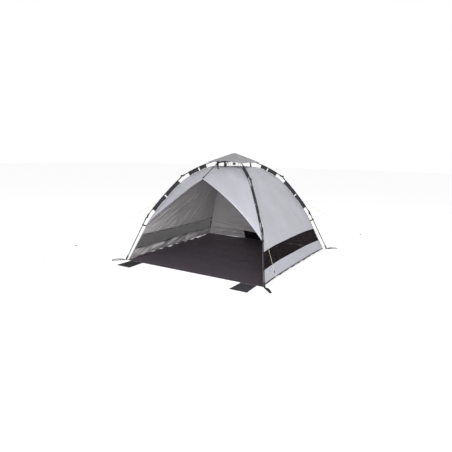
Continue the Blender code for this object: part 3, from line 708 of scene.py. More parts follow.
floor_white = Shader(
    "studio_floor", (0.97, 0.97, 0.97, 1.0), 0.9, Specular_IOR_Level=0.0, Emission_Strength=0.17
).material


# ---------------------------------------------------------------- placing
def riding(obj, body, slot, *nodes):
    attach(obj, body)
    if nodes:
        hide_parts(*nodes)


def on_ground(obj, slot, *nodes):
    """A soft piece: it rides on the ground body."""
    riding(obj, "ground", slot, *nodes)
    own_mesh(obj)


# ---------------------------------------------------------------- walls
SEAM_RUN = run_along(SEAM[::-1])
LOWER_RUN = math.hypot(REAR_HEM[0] - CLIP_SIDE, CLIP_HEIGHT) * 1.15
WALL_LENGTH = LOWER_RUN + float(SEAM_RUN[-1])
HEM_LIFT = 0.014
WINDOW_PULL = 0.050


def wall_height(v):
    """Height on the corner seam at a share of its length from the hem."""
    run = np.asarray(v) * WALL_LENGTH
    low = HEM_HEIGHT + (CLIP_HEIGHT - HEM_HEIGHT) * run / LOWER_RUN
    high = np.interp(run - LOWER_RUN, SEAM_RUN, SEAM[::-1, 1])
    return np.where(run < LOWER_RUN, low, high)


def share_at_height(height):
    return float(LOWER_RUN * (height - HEM_HEIGHT) / (CLIP_HEIGHT - HEM_HEIGHT) / WALL_LENGTH)


WINDOW_SHARES = (share_at_height(WINDOW_BASE), share_at_height(WINDOW_TOP))
WALL_WIDTH = 2.04


def wall_panel(first, last, seed, lower_relief, inward, ridges=()):
    """One wall between two corner seams. ridges are (height, creases arguments) added to its relief."""
    inward = np.array(inward, float)

    def base(u, v):
        z = wall_height(v)
        a, b = corner(*first, z), corner(*last, z)
        share = np.asarray(u)
        station = 2 * share - 1
        point = a + (b - a) * share[..., None]
        point[..., 2] += ROOF_EDGE_ARCH * (z / ROOF_HEIGHT) ** 6 * (1 - station**2)
        point[..., 2] += HEM_LIFT * np.clip(1 - z / 0.14, 0, 1) * (1 - station**8)
        pull = (WINDOW_PULL * (1 - (z / ROOF_HEIGHT) ** 2)) * smoothstep(z, -0.10, 0.20)
        profile = 1 - np.abs(station) ** 3.2
        return point + inward * (pull * profile)[..., None]

    def relief(x, y, u, v):
        z = wall_height(v)
        edge = np.clip(np.minimum(u, 1 - u) / 0.06, 0, 1)
        top = smoothstep(v, 0.70, 1.0)
        soft = 0.0035 * waves(x, y, seed, 7, 0.45, 1.1)
        drops = 0.0022 * waves(x, y, seed + 1, 5, 0.10, 0.22, 0.0, 0.25) * top
        for reaches, span in ((UPPER_SLEEVE, UPPER), (MIDDLE_SLEEVE, MIDDLE)):
            for reach in (reaches[0], reaches[-1]):
                height = span.point(span.share_at(reach), -SEAM_OFFSET)[1]
                row = float(np.interp(height, wall_height(spaced(0, 1, 400)), spaced(0, 1, 400)))
                for side in (0.0, WALL_WIDTH):
                    soft = soft + 0.0024 * fan(x, y, (side, row * WALL_LENGTH), 0.16, 9, seed + reach)
        band = 1 - smoothstep(z, 0.10, 0.17)
        crumple = waves(x, y, seed + 2, 9, 0.07, 0.26, 1.05, 0.55)
        crumple = np.sign(crumple) * np.abs(crumple) ** 1.4
        bottom = smoothstep(z, 0.0, 0.03)
        total = soft + drops + lower_relief * band * bottom * crumple
        for height, arguments in ridges:
            total = total + height * bottom * creases(x, y, *arguments)
        return edge * total * np.clip((1 - v) / 0.03, 0, 1)

    return Panel(base, relief, WALL_WIDTH, WALL_LENGTH, -inward)


MARGIN = 0.008
WALL_STEPS = 257
BELOW_STEPS, WINDOW_STEPS, ABOVE_STEPS = 26, 20, 116


def build_wall(name, panel, window):
    low, high = WINDOW_SHARES
    inner = spaced(MARGIN, 1 - MARGIN, WALL_STEPS)
    columns = np.unique(np.concatenate([spaced(0, MARGIN, 3), inner, spaced(1 - MARGIN, 1, 3)]))
    parts = (spaced(0, low, BELOW_STEPS), spaced(low, high, WINDOW_STEPS), spaced(high, 1, ABOVE_STEPS))
    rows = np.unique(np.concatenate(parts))

    def hole(u, v):
        return (v > low) & (v < high) & (u > MARGIN) & (u < 1 - MARGIN)

    gaps = hole if window else None
    cloth = panel_object(name + "_cloth", panel, columns, rows, CANOPY_FACES, missing=gaps)
    on_ground(cloth, "canopy_cloth", name)
    side = TAPE_WIDTH / WALL_WIDTH
    rise = TAPE_WIDTH / WALL_LENGTH
    tapes = [
        tape_object("t", panel, (0, 0), (0, 1), (side, 0), 150, dark_tape, 0.0012),
        tape_object("t", panel, (1, 1), (0, 1), (-side, 0), 150, dark_tape, 0.0012),
        tape_object("t", panel, (0, 1), (0, 0), (0, 0.7 * rise), 140, dark_tape, 0.0014),
    ]
    across = (0.006, 0.994)
    edges = ((high, 1), (low, -1)) if window else ()
    for edge, way in edges:
        step = (0, way * 0.7 * rise)
        tapes.append(tape_object("t", panel, across, (edge, edge), step, 140, dark_tape, -0.0020))
    on_ground(joined(name + "_trim", tapes), "webbing")
    if window:
        hems = [
            tape_object("t", panel, across, (edge, edge), (0, way * rise), 140, silver_hem, 0.0010)
            for edge, way in edges
        ]
        on_ground(joined(name + "_window_hem", hems), "canopy_cloth")


def build_window(name, panel):
    low, high = WINDOW_SHARES
    relief = panel.relief

    def slack(x, y, u, v):
        inside = np.sin(np.clip((v - low) / (high - low), 0, 1) * math.pi)
        drape = waves(x, y, 71, 6, 0.09, 0.30, 0.9, 0.35)
        return relief(x, y, u, v) + 0.0035 * inside * drape

    netting = Panel(panel.base, slack, panel.width, panel.length, panel.outward)
    gap = 0.0006
    columns = spaced(MARGIN - gap, 1 - MARGIN + gap, 121)
    obj = panel_object(name + "_net", netting, columns, spaced(low - gap, high + gap, 18), [net], 0.0005)
    on_ground(obj, "mesh_cloth", name)


LOWER_BAND = (0.05, 0.02, WALL_WIDTH - 0.05, 0.14)
UPPER_CLOTH = (0.25, 0.42, WALL_WIDTH - 0.15, 1.00)
RIGHT_RIDGES = (
    (0.0034, (61, 16, UPPER_CLOTH, -0.5, 0.5, (0.15, 0.40), (0.014, 0.024))),
    (0.0040, (62, 14, LOWER_BAND, 0.25, 0.4, (0.10, 0.30), (0.012, 0.020))),
)
LEFT_RIDGES = (
    (0.0210, (63, 26, (0.30, 0.085, WALL_WIDTH - 0.10, 0.150), -0.36, 0.16, (0.20, 0.42), (0.016, 0.024))),
    (-0.0120, (64, 14, LOWER_BAND, -0.42, 0.25, (0.14, 0.34), (0.012, 0.020))),
    (0.0080, (65, 64, UPPER_CLOTH, -0.62, 0.20, (0.10, 0.36), (0.010, 0.016))),
    (-0.0060, (66, 40, UPPER_CLOTH, -0.60, 0.25, (0.12, 0.40), (0.010, 0.018))),
)
BACK_RIDGES = (
    (0.0085, (67, 22, (0.15, 0.04, WALL_WIDTH - 0.15, 0.36), 0.0, 0.10, (0.30, 0.80), (0.010, 0.016))),
    (-0.0070, (68, 14, (0.15, 0.04, WALL_WIDTH - 0.15, 0.32), 0.0, 0.12, (0.30, 0.70), (0.010, 0.016))),
    (0.0045, (69, 22, UPPER_CLOTH, 0.9, 0.9, (0.15, 0.45), (0.012, 0.022))),
)
RIGHT_PANEL = wall_panel((1, -1), (1, 1), 11, 0.0025, (-1, 0, 0), RIGHT_RIDGES)
LEFT_PANEL = wall_panel((-1, 1), (-1, -1), 23, 0.0050, (1, 0, 0), LEFT_RIDGES)
BACK_PANEL = wall_panel((1, 1), (-1, 1), 37, 0.0050, (0, -1, 0), BACK_RIDGES)
build_wall("right_wall", RIGHT_PANEL, True)
build_window("right_mesh_window", RIGHT_PANEL)
build_wall("left_wall", LEFT_PANEL, True)
build_window("left_mesh_window", LEFT_PANEL)
build_wall("back_wall", BACK_PANEL, False)


# ---------------------------------------------------------------- roof and front panels
def roof_height(x, y):
    fall = ROOF_CENTRE - ROOF_HEIGHT
    return ROOF_CENTRE - fall * (x * x + y * y) / (2 * ROOF_SIDE * ROOF_SIDE)


def roof_base(u, v):
    half = ROOF_SIDE
    x, y = (2 * u - 1) * half, (2 * v - 1) * half
    return np.stack([x, y, roof_height(x, y)], -1)


def roof_relief(x, y, u, v):
    edge = np.clip(np.minimum(np.minimum(u, 1 - u), np.minimum(v, 1 - v)) / 0.10, 0, 1)
    sag = -0.010 * np.sin(u * math.pi) ** 2 * np.sin(v * math.pi) ** 2
    return edge * (0.003 * waves(x, y, 5, 8, 0.12, 0.40) + sag)


ROOF = Panel(roof_base, roof_relief, 2 * ROOF_SIDE, 2 * ROOF_SIDE, (0, 0, 1))
roof = panel_object("roof_panel_cloth", ROOF, spaced(0, 1, 49), spaced(0, 1, 49), CANOPY_FACES)
on_ground(roof, "canopy_cloth", "roof_panel")


def seam_by_reach(share):
    """Right front seam from roof corner to clip, by share of its reach."""
    reach = SEAM[0, 0] + (SEAM[-1, 0] - SEAM[0, 0]) * share
    height = np.interp(reach, SEAM[:, 0], SEAM[:, 1])
    return np.stack([reach * ROOT_HALF, -reach * ROOT_HALF, height], -1)


def front_panel(side):
    middle = np.array((0.0, -ROOF_SIDE, float(roof_height(0.0, ROOF_SIDE))))
    roof_corner = corner(1, -1, ROOF_HEIGHT)
    clip = corner(1, -1, CLIP_HEIGHT)

    def base(u, v):
        u, v = as_grid(u, v)
        uu, vv = u[..., None], v[..., None]
        x = roof_corner[0] * u
        top = np.stack([x, np.full_like(x, -ROOF_SIDE), roof_height(x, ROOF_SIDE)], -1)
        free = PEAK + (clip - PEAK) * uu + EDGE_BULGE * (4 * uu * (1 - uu))
        ridge = middle + (PEAK - middle) * vv + np.array((0, 0, RIDGE_RISE)) * (4 * vv * (1 - vv))
        seam = seam_by_reach(v)
        corners = (middle * (1 - uu) + roof_corner * uu) * (1 - vv) + (PEAK * (1 - uu) + clip * uu) * vv
        point = top * (1 - vv) + free * vv + ridge * (1 - uu) + seam * uu - corners
        return point * np.array((side, 1.0, 1.0))

    def relief(x, y, u, v):
        edge = np.clip(np.minimum(u, 1 - u) / 0.08, 0, 1) * np.clip((1 - v) / 0.02 + 0.25, 0, 1)
        soft = 0.0030 * waves(x, y, 41 + side, 6, 0.30, 0.80)
        pull = 0.0026 * fan(x, y, (0.0, 1.0), 0.22, 11, 0.4) + 0.0026 * fan(x, y, (1.0, 1.0), 0.25, 9, 1.4)
        return edge * (soft + pull) * np.clip(v / 0.05, 0, 1)

    return Panel(base, relief, 1.0, 0.85, (side * 0.55, -0.55, 0.62))


for side, name in ((-1, "front_panel_left"), (1, "front_panel_right")):
    panel = front_panel(side)
    cloth = panel_object(name + "_cloth", panel, spaced(0, 1, 81), spaced(0, 1, 81), CANOPY_FACES)
    on_ground(cloth, "canopy_cloth", name)
    parts = [
        tape_object("t", panel, (0, 1), (1, 1), (0, -0.014 / 0.6), 110, silver_hem, 0.0012, 0.001),
        tape_object("t", panel, (0, 1), (1, 1), (0, -0.014 / 0.6), 110, lining_hem, -0.0020, 0.001),
        tape_object("t", panel, (0, 0), (0, 1), (0.007, 0), 60, silver_hem, 0.0012, 0.001),
    ]
    on_ground(joined(name + "_hem", parts), "canopy_cloth")
    # On the left panel only, a dark tape along most of the free edge stands for the shadow line between the
    # lit panel and the dark inside: painted shadow.
    if side < 0:
        edge = ((0.10, 1), (1, 1), (0, -0.006 / 0.6))
        painted_shadow_line = tape_object(name + "_piping", panel, *edge, 110, dark_tape, 0.0026, 0.001)
        on_ground(painted_shadow_line, "webbing")
    seam_tape = tape_object(name + "_seam", panel, (1, 1), (0, 1), (-0.012, 0), 80, dark_tape, 0.0012)
    on_ground(seam_tape, "webbing")


# ---------------------------------------------------------------- floor
def floor_base(u, v):
    u, v = as_grid(u, v)
    half = FLOOR_FRONT[0] + (FLOOR_REAR[0] - FLOOR_FRONT[0]) * v
    station_x, station_y = 2 * u - 1, 2 * v - 1
    half = half - 0.010 * (1 - np.abs(station_y) ** 6)
    y = FLOOR_FRONT[1] + (FLOOR_REAR[1] - FLOOR_FRONT[1]) * v
    y = y - 0.008 * (1 - np.abs(station_x) ** 6) * smoothstep(v, 0.0, 1.0)
    return np.stack([station_x * half, y, np.full_like(y, 0.0018)], -1)


def floor_relief(x, y, u, v):
    soft = 0.0030 * waves(x, y, 3, 8, 0.30, 0.9) + 0.0005 * waves(x, y, 4, 8, 0.10, 0.2)
    side = smoothstep(np.abs(2 * u - 1), 0.93, 1.0) * np.sin(np.clip(v, 0, 1) * math.pi) ** 0.3
    back = smoothstep(v, 0.96, 1.0) * np.sin(np.clip(u, 0, 1) * math.pi) ** 0.3
    turn_up = 0.010 + 0.010 * np.clip(waves(y, x * 0, 9, 6, 0.10, 0.45), -0.8, 1.5)
    front = smoothstep(v, 0.0, 0.02)
    return np.clip(soft + 0.0030, 0.0, None) * front + turn_up * np.maximum(side, 0.6 * back)


FLOOR = Panel(floor_base, floor_relief, 1.96, 2.08, (0, 0, 1))
FLOOR_GRID = spaced(0, 1, 141)
floor = panel_object("groundsheet_cloth", FLOOR, FLOOR_GRID, FLOOR_GRID, [floor_cloth], 0.0010)
riding(floor, "ground", "ground_cloth", "groundsheet")
front_hem = tape_object("floor_front_hem", FLOOR, (0, 1), (0, 0), (0, 0.010), 90, dark_tape, 0.0012)
riding(front_hem, "ground", "ground_cloth")


# ---------------------------------------------------------------- inner pocket
def pocket_base(u, v):
    u, v = as_grid(u, v)
    z = POCKET_BASE + (POCKET_TOP - POCKET_BASE) * v
    x = (2 * u - 1) * POCKET_HALF_WIDTH * (1 - 0.08 * v)
    share = np.interp(z, wall_height(spaced(0, 0.3, 200)), spaced(0, 0.3, 200))
    wall = BACK_PANEL.at((1 - x) / 2, share)
    belly = 0.016 * np.sin(np.clip(u, 0, 1) * math.pi) ** 0.6 * (0.35 + 0.65 * v)
    return np.stack([x, wall[..., 1] - 0.005 - belly, z - 0.012 * v * np.sin(u * math.pi)], -1)


POCKET = Panel(
    pocket_base,
    lambda x, y, u, v: 0.0025 * waves(x, y, 13, 6, 0.06, 0.2),
    0.60,
    0.16,
    (0, -1, 0),
)
pocket = panel_object("inner_pocket_net", POCKET, spaced(0, 1, 49), spaced(0, 1, 17), [pocket_net], 0.0006)
on_ground(pocket, "mesh_cloth", "inner_pocket")
pocket_parts = [
    tape_object("t", POCKET, (0, 1), (1, 1), (0, -0.09), 40, narrow_webbing, 0.0010),
    tape_object("t", POCKET, (0, 0), (0, 1), (0.02, 0), 14, narrow_webbing, 0.0010),
    tape_object("t", POCKET, (1, 1), (0, 1), (-0.02, 0), 14, narrow_webbing, 0.0010),
]
on_ground(joined("inner_pocket_binding", pocket_parts), "webbing")


# ---------------------------------------------------------------- rain cap
def cap_rim(turn):
    """The cap's edge at a turn from 0 to 1 round it, starting at the front left corner."""
    share = UPPER.share_at(CAP_REACH)
    low = UPPER.point(share, ROD_RADIUS + CAP_CORNER_LIFT)[1]
    side = CAP_REACH * ROOT_HALF
    corners = [(-side, -side, low), (side, -side, low), (side, side, low), (-side, side, low)]
    lifts = (CAP_FRONT_HEIGHT - low, 0.004, 0.004, 0.004)
    ends = [np.array(c) for c in corners + corners[:1]]
    leg = np.minimum((turn * 4).astype(int), 3)
    share = turn * 4 - leg
    point = np.zeros(turn.shape + (3,))
    for k in range(4):
        on = leg == k
        s = share[on][..., None]
        edge = ends[k] + (ends[k + 1] - ends[k]) * s
        bow = 1 - (2 * s - 1) ** 2
        edge[..., 2:] += lifts[k] * (bow if k else np.clip(1 - np.abs(2 * s - 1) * 1.1, 0, 1))
        edge[..., :2] *= 1 - 0.05 * bow
        point[on] = edge
    return point


def cap_base(u, v):
    u, v = as_grid(u, v)
    rim = cap_rim(np.clip(u, 0, 0.999999))
    apex = np.array((0.0, 0.0, CAP_APEX - 0.0015))
    share = v[..., None]
    point = apex + (rim - apex) * share
    between = np.abs(np.sin(u * 4 * math.pi))
    point[..., 2] -= 0.007 * np.sin(v * math.pi) * between
    point[..., 2] -= 0.004 * np.exp(-((v / 0.05) ** 2))
    return point


def cap_relief(x, y, u, v):
    angle = u * 2 * math.pi
    return 0.0022 * waves(np.cos(angle) * v * 0.4, np.sin(angle) * v * 0.4, 8, 8, 0.09, 0.3) * v


CAP = Panel(cap_base, cap_relief, 2.1, 0.38, (0, 0, 1))
cap = panel_object("top_cap_cloth", CAP, spaced(0, 1, 129), spaced(0.01, 1, 25), [cap_cloth], 0.0009)
riding(cap, "hub", "cap_cloth", "top_cap")
ridge_tapes = []
for k in range(4):
    turn = (k / 4 + 0.0001 - 0.004 * (k > 0), k / 4)
    ridge_tapes.append(tape_object("t", CAP, turn, (0.02, 1), (0.006, 0), 20, cap_hem, 0.0010))
ridge_tapes.append(tape_object("t", CAP, (0, 1), (1, 1), (0, -0.035), 130, cap_hem, 0.0009))
riding(joined("top_cap_tapes", ridge_tapes), "hub", "cap_cloth")


# ---------------------------------------------------------------- sleeves on the rods
SLEEVE_DEPTH = 0.0475
SLEEVE_FLAT_WIDTH = 0.11


def sleeve_section(depth_in):
    """One cross-section of a sleeve: from the seam up one side, round the rod and back down the other."""
    loop = [(-depth_in, 0.0008), (-0.7 * depth_in, 0.0009), (-0.4 * depth_in, 0.0010), (-0.013, 0.0014)]
    radius = ROD_RADIUS + 0.0022
    for k in range(11):
        angle = math.radians(150 - 300 * k / 10)
        loop.append((radius * math.cos(angle), radius * math.sin(angle)))
    return loop + [(d, -w) for d, w in reversed(loop[:4])]


def build_sleeve(name, span, first, last, azimuth, seed):
    """A cloth tab that wraps the rod and reaches in to the canopy's seam."""
    shares = np.linspace(span.share_at(first), span.share_at(last), 25)
    run = (shares[-1] - shares[0]) * span.length
    rows = []
    for k, share in enumerate(shares):
        depth = SLEEVE_DEPTH - 0.003 * math.sin(math.pi * k / (len(shares) - 1))
        row = []
        for d, w in sleeve_section(depth):
            ripple = 0.0
            if d < -0.01:
                ripple = 0.0011 * math.sin(9 * k / 24 + seed + d * 60) * min(1.0, abs(d) / 0.02)
            row.append(leg_space(span.point(share, d), azimuth, w + ripple)[0])
        rows.append(row)
    points = np.array(rows)
    wide = np.linspace(0, SLEEVE_FLAT_WIDTH, points.shape[1])[None, :] + np.zeros((len(rows), 1))
    along = np.linspace(0, run, len(rows))[:, None] + np.zeros((1, points.shape[1]))
    return grid_object(name, points, 0.0007, [sleeve_cloth], (along, wide))


def sleeve_pair(kind, span, reaches, leg, azimuth, seed):
    first, notch_start, notch_end, last = reaches
    tabs = [
        build_sleeve("s", span, first, notch_start, azimuth, seed),
        build_sleeve("s", span, notch_end, last, azimuth, seed + 2),
    ]
    bands = []
    for begin, end in ((first, notch_start), (notch_end, last)):
        for reach in (begin + 0.004, end - 0.004):
            share = span.share_at(reach)
            for side in (-1, 1):
                line = [span.point(share, -d) for d in np.linspace(0.012, 0.046, 6)]
                points = leg_space(line, azimuth, side * 0.0022)
                width_way = leg_space(span.direction(share), azimuth)[0]
                bands.append(strap_mesh("b", points, width_way, 0.006, 0.0008, dark_tape))
    obj = joined(f"{kind}_sleeve_{leg}_cloth", tabs + bands)
    riding(obj, f"{kind}_{leg}", "sleeve_cloth", f"{kind}_sleeve_{leg}")


for index, (leg, (azimuth, *_)) in enumerate(LEGS.items()):
    sleeve_pair("upper", UPPER, UPPER_SLEEVE, leg, azimuth, index)
    sleeve_pair("middle", MIDDLE, MIDDLE_SLEEVE, leg, azimuth, index + 5)


# ---------------------------------------------------------------- clips, straps, pockets and cords
def foot_point(leg):
    _, foot, lean, _ = LEGS[leg]
    return np.array((
        (foot[0] + abs(foot[1])) * ROOT_HALF,
        (abs(foot[1]) - foot[0]) * ROOT_HALF * lean,
        FOOT_TIP_HEIGHT,
    ))


def build_clip(leg):
    """A snap clip round the lower rod and the short tab that joins it to the seam."""
    azimuth = LEGS[leg][0]
    foot = foot_point(leg)
    joint = np.array((LOWER_JOINT[0], 0.0, LOWER_JOINT[1]))
    share = (CLIP_REACH - LOWER_JOINT[0]) / (foot[0] - LOWER_JOINT[0])
    centre = joint + (foot - joint) * share
    run = (foot - joint) / np.linalg.norm(foot - joint)
    inward = np.array((run[2], 0.0, -run[0]))
    sideways = np.cross(run, inward)
    ring = []
    for k in range(15):
        angle = math.radians(35 + 290 * k / 14)
        turn = inward * math.cos(angle) + sideways * math.sin(angle)
        ring.append(centre + CLIP_RING * turn)
    hooks = [
        tube_mesh("h", to_row([p + run * d for p in ring], azimuth), CLIP_HOOK_RADIUS, plastic, 8)
        for d in (-0.007, 0.0, 0.007)
    ]
    block = [centre + inward * d for d in (0.0100, 0.0130, 0.0200, 0.0260)]
    body = tube_mesh("h", to_row(block, azimuth), np.array((0.0060, 0.0095, 0.0085, 0.0060)), plastic, 10)
    obj = joined(f"clip_{leg}", hooks + [body])
    riding(obj, f"lower_{leg}", "plastic")
    seam = leg_space(np.array((SEAM[-1, 0], SEAM[-1, 1])), azimuth)[0]
    start = to_row(centre + inward * 0.022, azimuth)[0]
    line = [start + (seam - start) * t for t in np.linspace(0, 1.1, 6)]
    tab = strap_mesh(f"clip_tab_{leg}", line, to_row(run, azimuth)[0], 0.018, 0.0016, narrow_webbing)
    riding(tab, f"lower_{leg}", "webbing")


def build_peg_strap(leg):
    """Webbing from the foot along the ground, turned back into a loop, with a collar at the foot."""
    azimuth = LEGS[leg][0]
    foot = foot_point(leg)
    near = foot[0] + FOOT_BASE_RADIUS + 0.0015
    far = near + STRAP_LENGTH
    out = [
        (near + (far - near) * t, foot[1], 0.0012 + 0.0030 * math.sin(math.pi * t) ** 2)
        for t in np.linspace(0, 1, 22)
    ]
    turned = [
        (far - 0.0015 + 0.0016 * math.sin(a), foot[1], 0.0026 - 0.0014 * math.cos(a))
        for a in np.linspace(0, math.pi, 7)
    ]
    back = [
        (far - (STRAP_LENGTH - 0.012) * t, foot[1], 0.0042 + STRAP_ARCH * math.sin(math.pi * t) ** 0.8)
        for t in np.linspace(0.02, 1, 22)
    ]
    across = to_row(np.array((0.0, 1.0, 0.0)), azimuth)[0]
    strap = strap_mesh("p", to_row(np.array(out), azimuth), across, STRAP_WIDTH, STRAP_CLOTH, webbing)
    over = to_row(np.array(turned + back), azimuth)
    fold = strap_mesh("p", over, across, STRAP_WIDTH, STRAP_CLOTH, webbing)
    collar_line = [(foot[0] + 0.004 + 0.010 * t, foot[1], 0.010 - 0.007 * t) for t in np.linspace(0, 1, 5)]
    collar = strap_mesh("p", to_row(np.array(collar_line), azimuth), across, 0.018, STRAP_CLOTH, webbing)
    obj = joined(f"peg_strap_{leg}_webbing", [strap, fold, collar])
    riding(obj, "ground", "webbing", f"peg_strap_{leg}")


def build_guy_line(leg, reach):
    azimuth = LEGS[leg][0]
    share = MIDDLE.share_at(GUY_START_REACH)
    first = MIDDLE.point(share, GUY_START_OFFSET)
    start = np.array((first[0], 0.0, first[1]))
    end = np.array((reach, 0.0, GUY_HEIGHT))
    length = float(np.linalg.norm(end - start))
    t = np.linspace(0, 1, 33)[:, None]
    line = start + (end - start) * t
    line[:, 2:] -= 0.006 * 4 * t * (1 - t)
    line[:, 2] = np.maximum(line[:, 2], 0.0025)
    points = to_row(line, azimuth)
    rope = tube_mesh(f"guy_line_{leg}_cord", points, GUY_RADIUS, cord, 8)
    run = (end - start) / length
    loop = []
    for k in range(17):
        angle = 2 * math.pi * k / 16
        loop.append(end + np.array((0.014 - 0.014 * math.cos(angle), 0.006 * math.sin(angle), 0.0)))
    loop_obj = tube_mesh("l", to_row(np.array(loop), azimuth), GUY_RADIUS, cord, 8)
    knots = []
    for place in (start + run * 0.004, end - run * 0.004):
        turns = []
        for k in range(25):
            angle = 2 * math.pi * 2.5 * k / 24
            side = np.array((-run[2], 0.0, run[0]))
            turn = side * 0.003 * math.cos(angle) + np.array((0, 0.003 * math.sin(angle), 0))
            turns.append(place + run * (0.008 * (k / 24 - 0.5)) + turn)
        turns = np.array(turns)
        turns[:, 2] = np.maximum(turns[:, 2], 0.0022)
        knots.append(tube_mesh("k", to_row(turns, azimuth), 0.0014, cord, 6))
    knot = joined(f"guy_knots_{leg}", [loop_obj] + knots)
    runner_at = start + (end - start) * 0.72
    slider = []
    for k in np.linspace(-0.5, 0.5, 5):
        slider.append(runner_at + run * 0.030 * k + np.array((0, 0, -0.006 * 0.8)))
    radii = np.array((0.0032, 0.0045, 0.0045, 0.0045, 0.0032))
    runner = tube_mesh(f"guy_runner_{leg}", to_row(np.array(slider), azimuth), radii, plastic, 8)
    on_ground(rope, "cord", f"guy_line_{leg}")
    on_ground(knot, "cord")
    on_ground(runner, "plastic")


for leg, (*_, guy_reach) in LEGS.items():
    build_clip(leg)
    build_peg_strap(leg)
    build_guy_line(leg, guy_reach)


def pouch_base(side):
    low_x, high_x = SAND_POCKET_X

    def base(u, v):
        u, v = as_grid(u, v)
        x = low_x + (high_x - low_x) * u + 0.010 * (v - 0.5) * (2 * u - 1)
        y = SAND_POCKET_HINGE_Y - 0.002 + (SAND_POCKET_FRONT_Y - SAND_POCKET_HINGE_Y + 0.004) * v
        return np.stack([side * x, y, np.full_like(x, 0.0016)], -1)

    return base


def pouch_relief(x, y, u, v):
    rim = np.sin(np.clip(u, 0, 1) * math.pi) ** 0.5 * np.sin(np.clip(v, 0, 1) * math.pi) ** 0.5
    from_hinge = np.clip(2.2 * v, 0.10, 1.0)
    return rim * from_hinge * (0.0055 + 0.0030 * waves(x, y, 29, 8, 0.05, 0.16)) + 0.0010


for side, name in ((-1, "left"), (1, "right")):
    POUCH = Panel(pouch_base(side), pouch_relief, 0.20, 0.25, (0, 0, 1))
    # The left pocket takes the darker copy of the cloth: painted shade.
    finish = [sand_cloths_shaded_and_lit[side > 0]]
    pouch = panel_object(
        f"sand_pocket_{name}_cloth", POUCH, spaced(0, 1, 33), spaced(0, 1, 41), finish, 0.0012
    )
    riding(pouch, f"sand_pocket_{name}", "webbing", f"sand_pocket_{name}")
    edges = [
        tape_object("e", POUCH, (0, 1), (1, 1), (0, -0.045), 24, dark_tape, 0.0010),
        tape_object("e", POUCH, (0, 0), (0, 1), (0.05, 0), 30, dark_tape, 0.0010),
        tape_object("e", POUCH, (1, 1), (0, 1), (-0.05, 0), 30, dark_tape, 0.0010),
    ]
    riding(joined(f"sand_pocket_{name}_binding", edges), f"sand_pocket_{name}", "webbing")


# ---------------------------------------------------------------- straps between canopy, poles and strut
def hang_strap(name, top, bottom, across, width):
    """A short strap from the frame down to the canopy. It belongs to the canopy."""
    top, bottom = np.array(top, float), np.array(bottom, float)
    line = [
        top + (bottom - top) * t + np.array((0, 0, 0.004 * math.sin(math.pi * t)))
        for t in np.linspace(0, 1, 9)
    ]
    on_ground(strap_mesh(name, line, across, width, 0.0013, narrow_webbing), "webbing")


for leg in LEGS:
    azimuth = LEGS[leg][0]
    top = leg_space(UPPER.point(UPPER.share_at(0.225), -ROD_RADIUS), azimuth)[0]
    reach = 0.240
    x, y = reach * math.cos(math.radians(azimuth)), reach * math.sin(math.radians(azimuth))
    low = np.array((reach, float(roof_height(x, y)) + 0.001))
    along = leg_space(np.array((1.0, 0.0)), azimuth)[0]
    for side, end in ((-1, "a"), (1, "b")):
        foot_end = leg_space(low, azimuth, side * 0.020)[0]
        hang_strap(f"roof_strap_{leg}_{end}", top, foot_end, along, 0.010)


def arm_height(reach):
    share = (reach - PORCH_PIVOT[0]) / (PORCH_JOINT[0] - PORCH_PIVOT[0])
    return PORCH_PIVOT[1] + (PORCH_JOINT[1] - PORCH_PIVOT[1]) * share


def ridge_height(reach):
    """Height of the cloth ridge under the porch strut."""
    share = (reach - ROOF_SIDE) / (-float(PEAK[1]) - ROOF_SIDE)
    roof_front = float(roof_height(0.0, ROOF_SIDE))
    return roof_front + (float(PEAK[2]) - roof_front) * share + RIDGE_RISE * 4 * share * (1 - share)


ARM_TIE = 0.250
TIE_RING = 0.0085
KNEE_TIE = PORCH_JOINT[0] - 0.008
for name, reach, width, drop in (
    ("porch_arm_tie", ARM_TIE, 0.028, float(roof_height(0.0, ARM_TIE)) - 0.006),
    ("porch_strap", KNEE_TIE, 0.018, ridge_height(KNEE_TIE)),
):
    top = (0.0, -reach, arm_height(reach) - 0.006)
    hang_strap(name, top, (0.0, -reach - 0.004, drop + 0.001), (1, 0, 0), width)
    collar = []
    for k in range(17):
        angle = 2 * math.pi * k / 16
        rise = TIE_RING * math.cos(angle)
        collar.append((TIE_RING * math.sin(angle), -reach, arm_height(reach) + rise))
    loop = strap_mesh(name + "_loop", collar, (0, 1, 0), width, 0.0014, narrow_webbing)
    on_ground(loop, "webbing")

tip = np.array((0.0, -PORCH_TIP[0], PORCH_TIP[1]))
run = np.array((0.0, -(PORCH_TIP[0] - PORCH_JOINT[0]), PORCH_TIP[1] - PORCH_JOINT[1]))
run /= np.linalg.norm(run)
cup_line = [tip - run * d for d in (0.034, 0.030, 0.012, 0.002, -0.003)]
cup_radii = np.array((0.0052, 0.0062, 0.0065, 0.0060, 0.0030))
cup = tube_mesh("porch_tip_pocket", cup_line, cup_radii, sleeve_cloth, 12)
on_ground(cup, "sleeve_cloth")


# ---------------------------------------------------------------- CAD pieces that stay
RODS = ("upper_pole", "middle_pole", "lower_pole", "porch_arm", "porch_rod")
for node_name, node in NODES.items():
    if node.hide_render:
        continue
    finish = rod if node_name.startswith(RODS) else plastic
    for index in range(len(node.data.materials)):
        node.data.materials[index] = finish

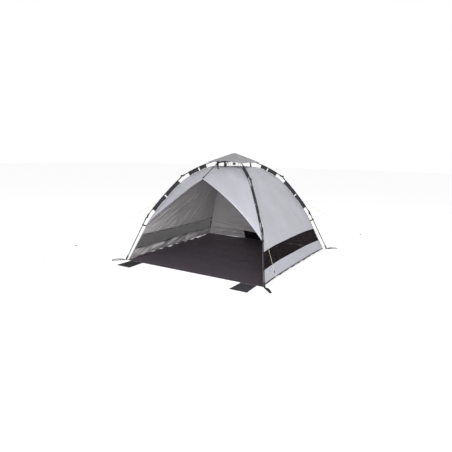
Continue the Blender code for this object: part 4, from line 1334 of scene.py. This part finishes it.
# ---------------------------------------------------------------- studio, light and camera
KEY_PLACE = (3.4, -6.4, 2.2)
KEY_TARGET = Vector((0, 0, 0.5))
KEY_SIZE = 3.5
KEY_POWER = 480
CAMERA_PLACE = (2.562, -4.674, 1.368)
CAMERA_RIGHT = (0.866, 0.499, 0.0195)
CAMERA_BACK = (0.488, -0.854, 0.180)
CAMERA_LENS = 30.83
SKY_DIMMING = (("From Min", 0.45), ("From Max", 0.85), ("To Min", 1.0), ("To Max", 0.68))

bm = bmesh.new()
bmesh.ops.create_grid(bm, x_segments=1, y_segments=1, size=40.0)
backdrop = mesh_object("studio_floor", bm)
backdrop.location = (0, 0, -0.0008)
backdrop.data.materials.append(floor_white)

world = bpy.data.worlds.new("studio")
bpy.context.scene.world = world
world.use_nodes = True
sky = world.node_tree
sky.nodes["Background"].inputs["Color"].default_value = (1.0, 1.0, 1.0, 1.0)
direction = sky.nodes.new("ShaderNodeTexCoord")
height = sky.nodes.new("ShaderNodeSeparateXYZ")
sky.links.new(direction.outputs["Generated"], height.inputs["Vector"])
dimming = sky.nodes.new("ShaderNodeMapRange")
for key, number in SKY_DIMMING:
    dimming.inputs[key].default_value = number
sky.links.new(height.outputs["Z"], dimming.inputs["Value"])
sky.links.new(dimming.outputs["Result"], sky.nodes["Background"].inputs["Strength"])


key_data = bpy.data.lights.new("key", "AREA")
key_data.shape = "SQUARE"
key_data.size = KEY_SIZE
key_data.energy = KEY_POWER
key_light = link(bpy.data.objects.new("key", key_data))
key_light.location = KEY_PLACE
key_light.rotation_mode = "QUATERNION"
key_light.rotation_quaternion = (KEY_TARGET - Vector(KEY_PLACE)).to_track_quat("-Z", "Y")

camera_data = bpy.data.cameras.new("camera")
camera_data.sensor_width = 36.0
camera_data.lens = CAMERA_LENS
camera_data.clip_end = 200.0
camera = link(bpy.data.objects.new("camera", camera_data))
right = Vector(CAMERA_RIGHT).normalized()
back = Vector(CAMERA_BACK)
back = (back - right * back.dot(right)).normalized()
up = back.cross(right)
camera.matrix_world = Matrix((
    (right.x, up.x, back.x, CAMERA_PLACE[0]),
    (right.y, up.y, back.y, CAMERA_PLACE[1]),
    (right.z, up.z, back.z, CAMERA_PLACE[2]),
    (0, 0, 0, 1),
))
bpy.context.scene.camera = camera
bpy.context.scene.view_settings.view_transform = "Standard"
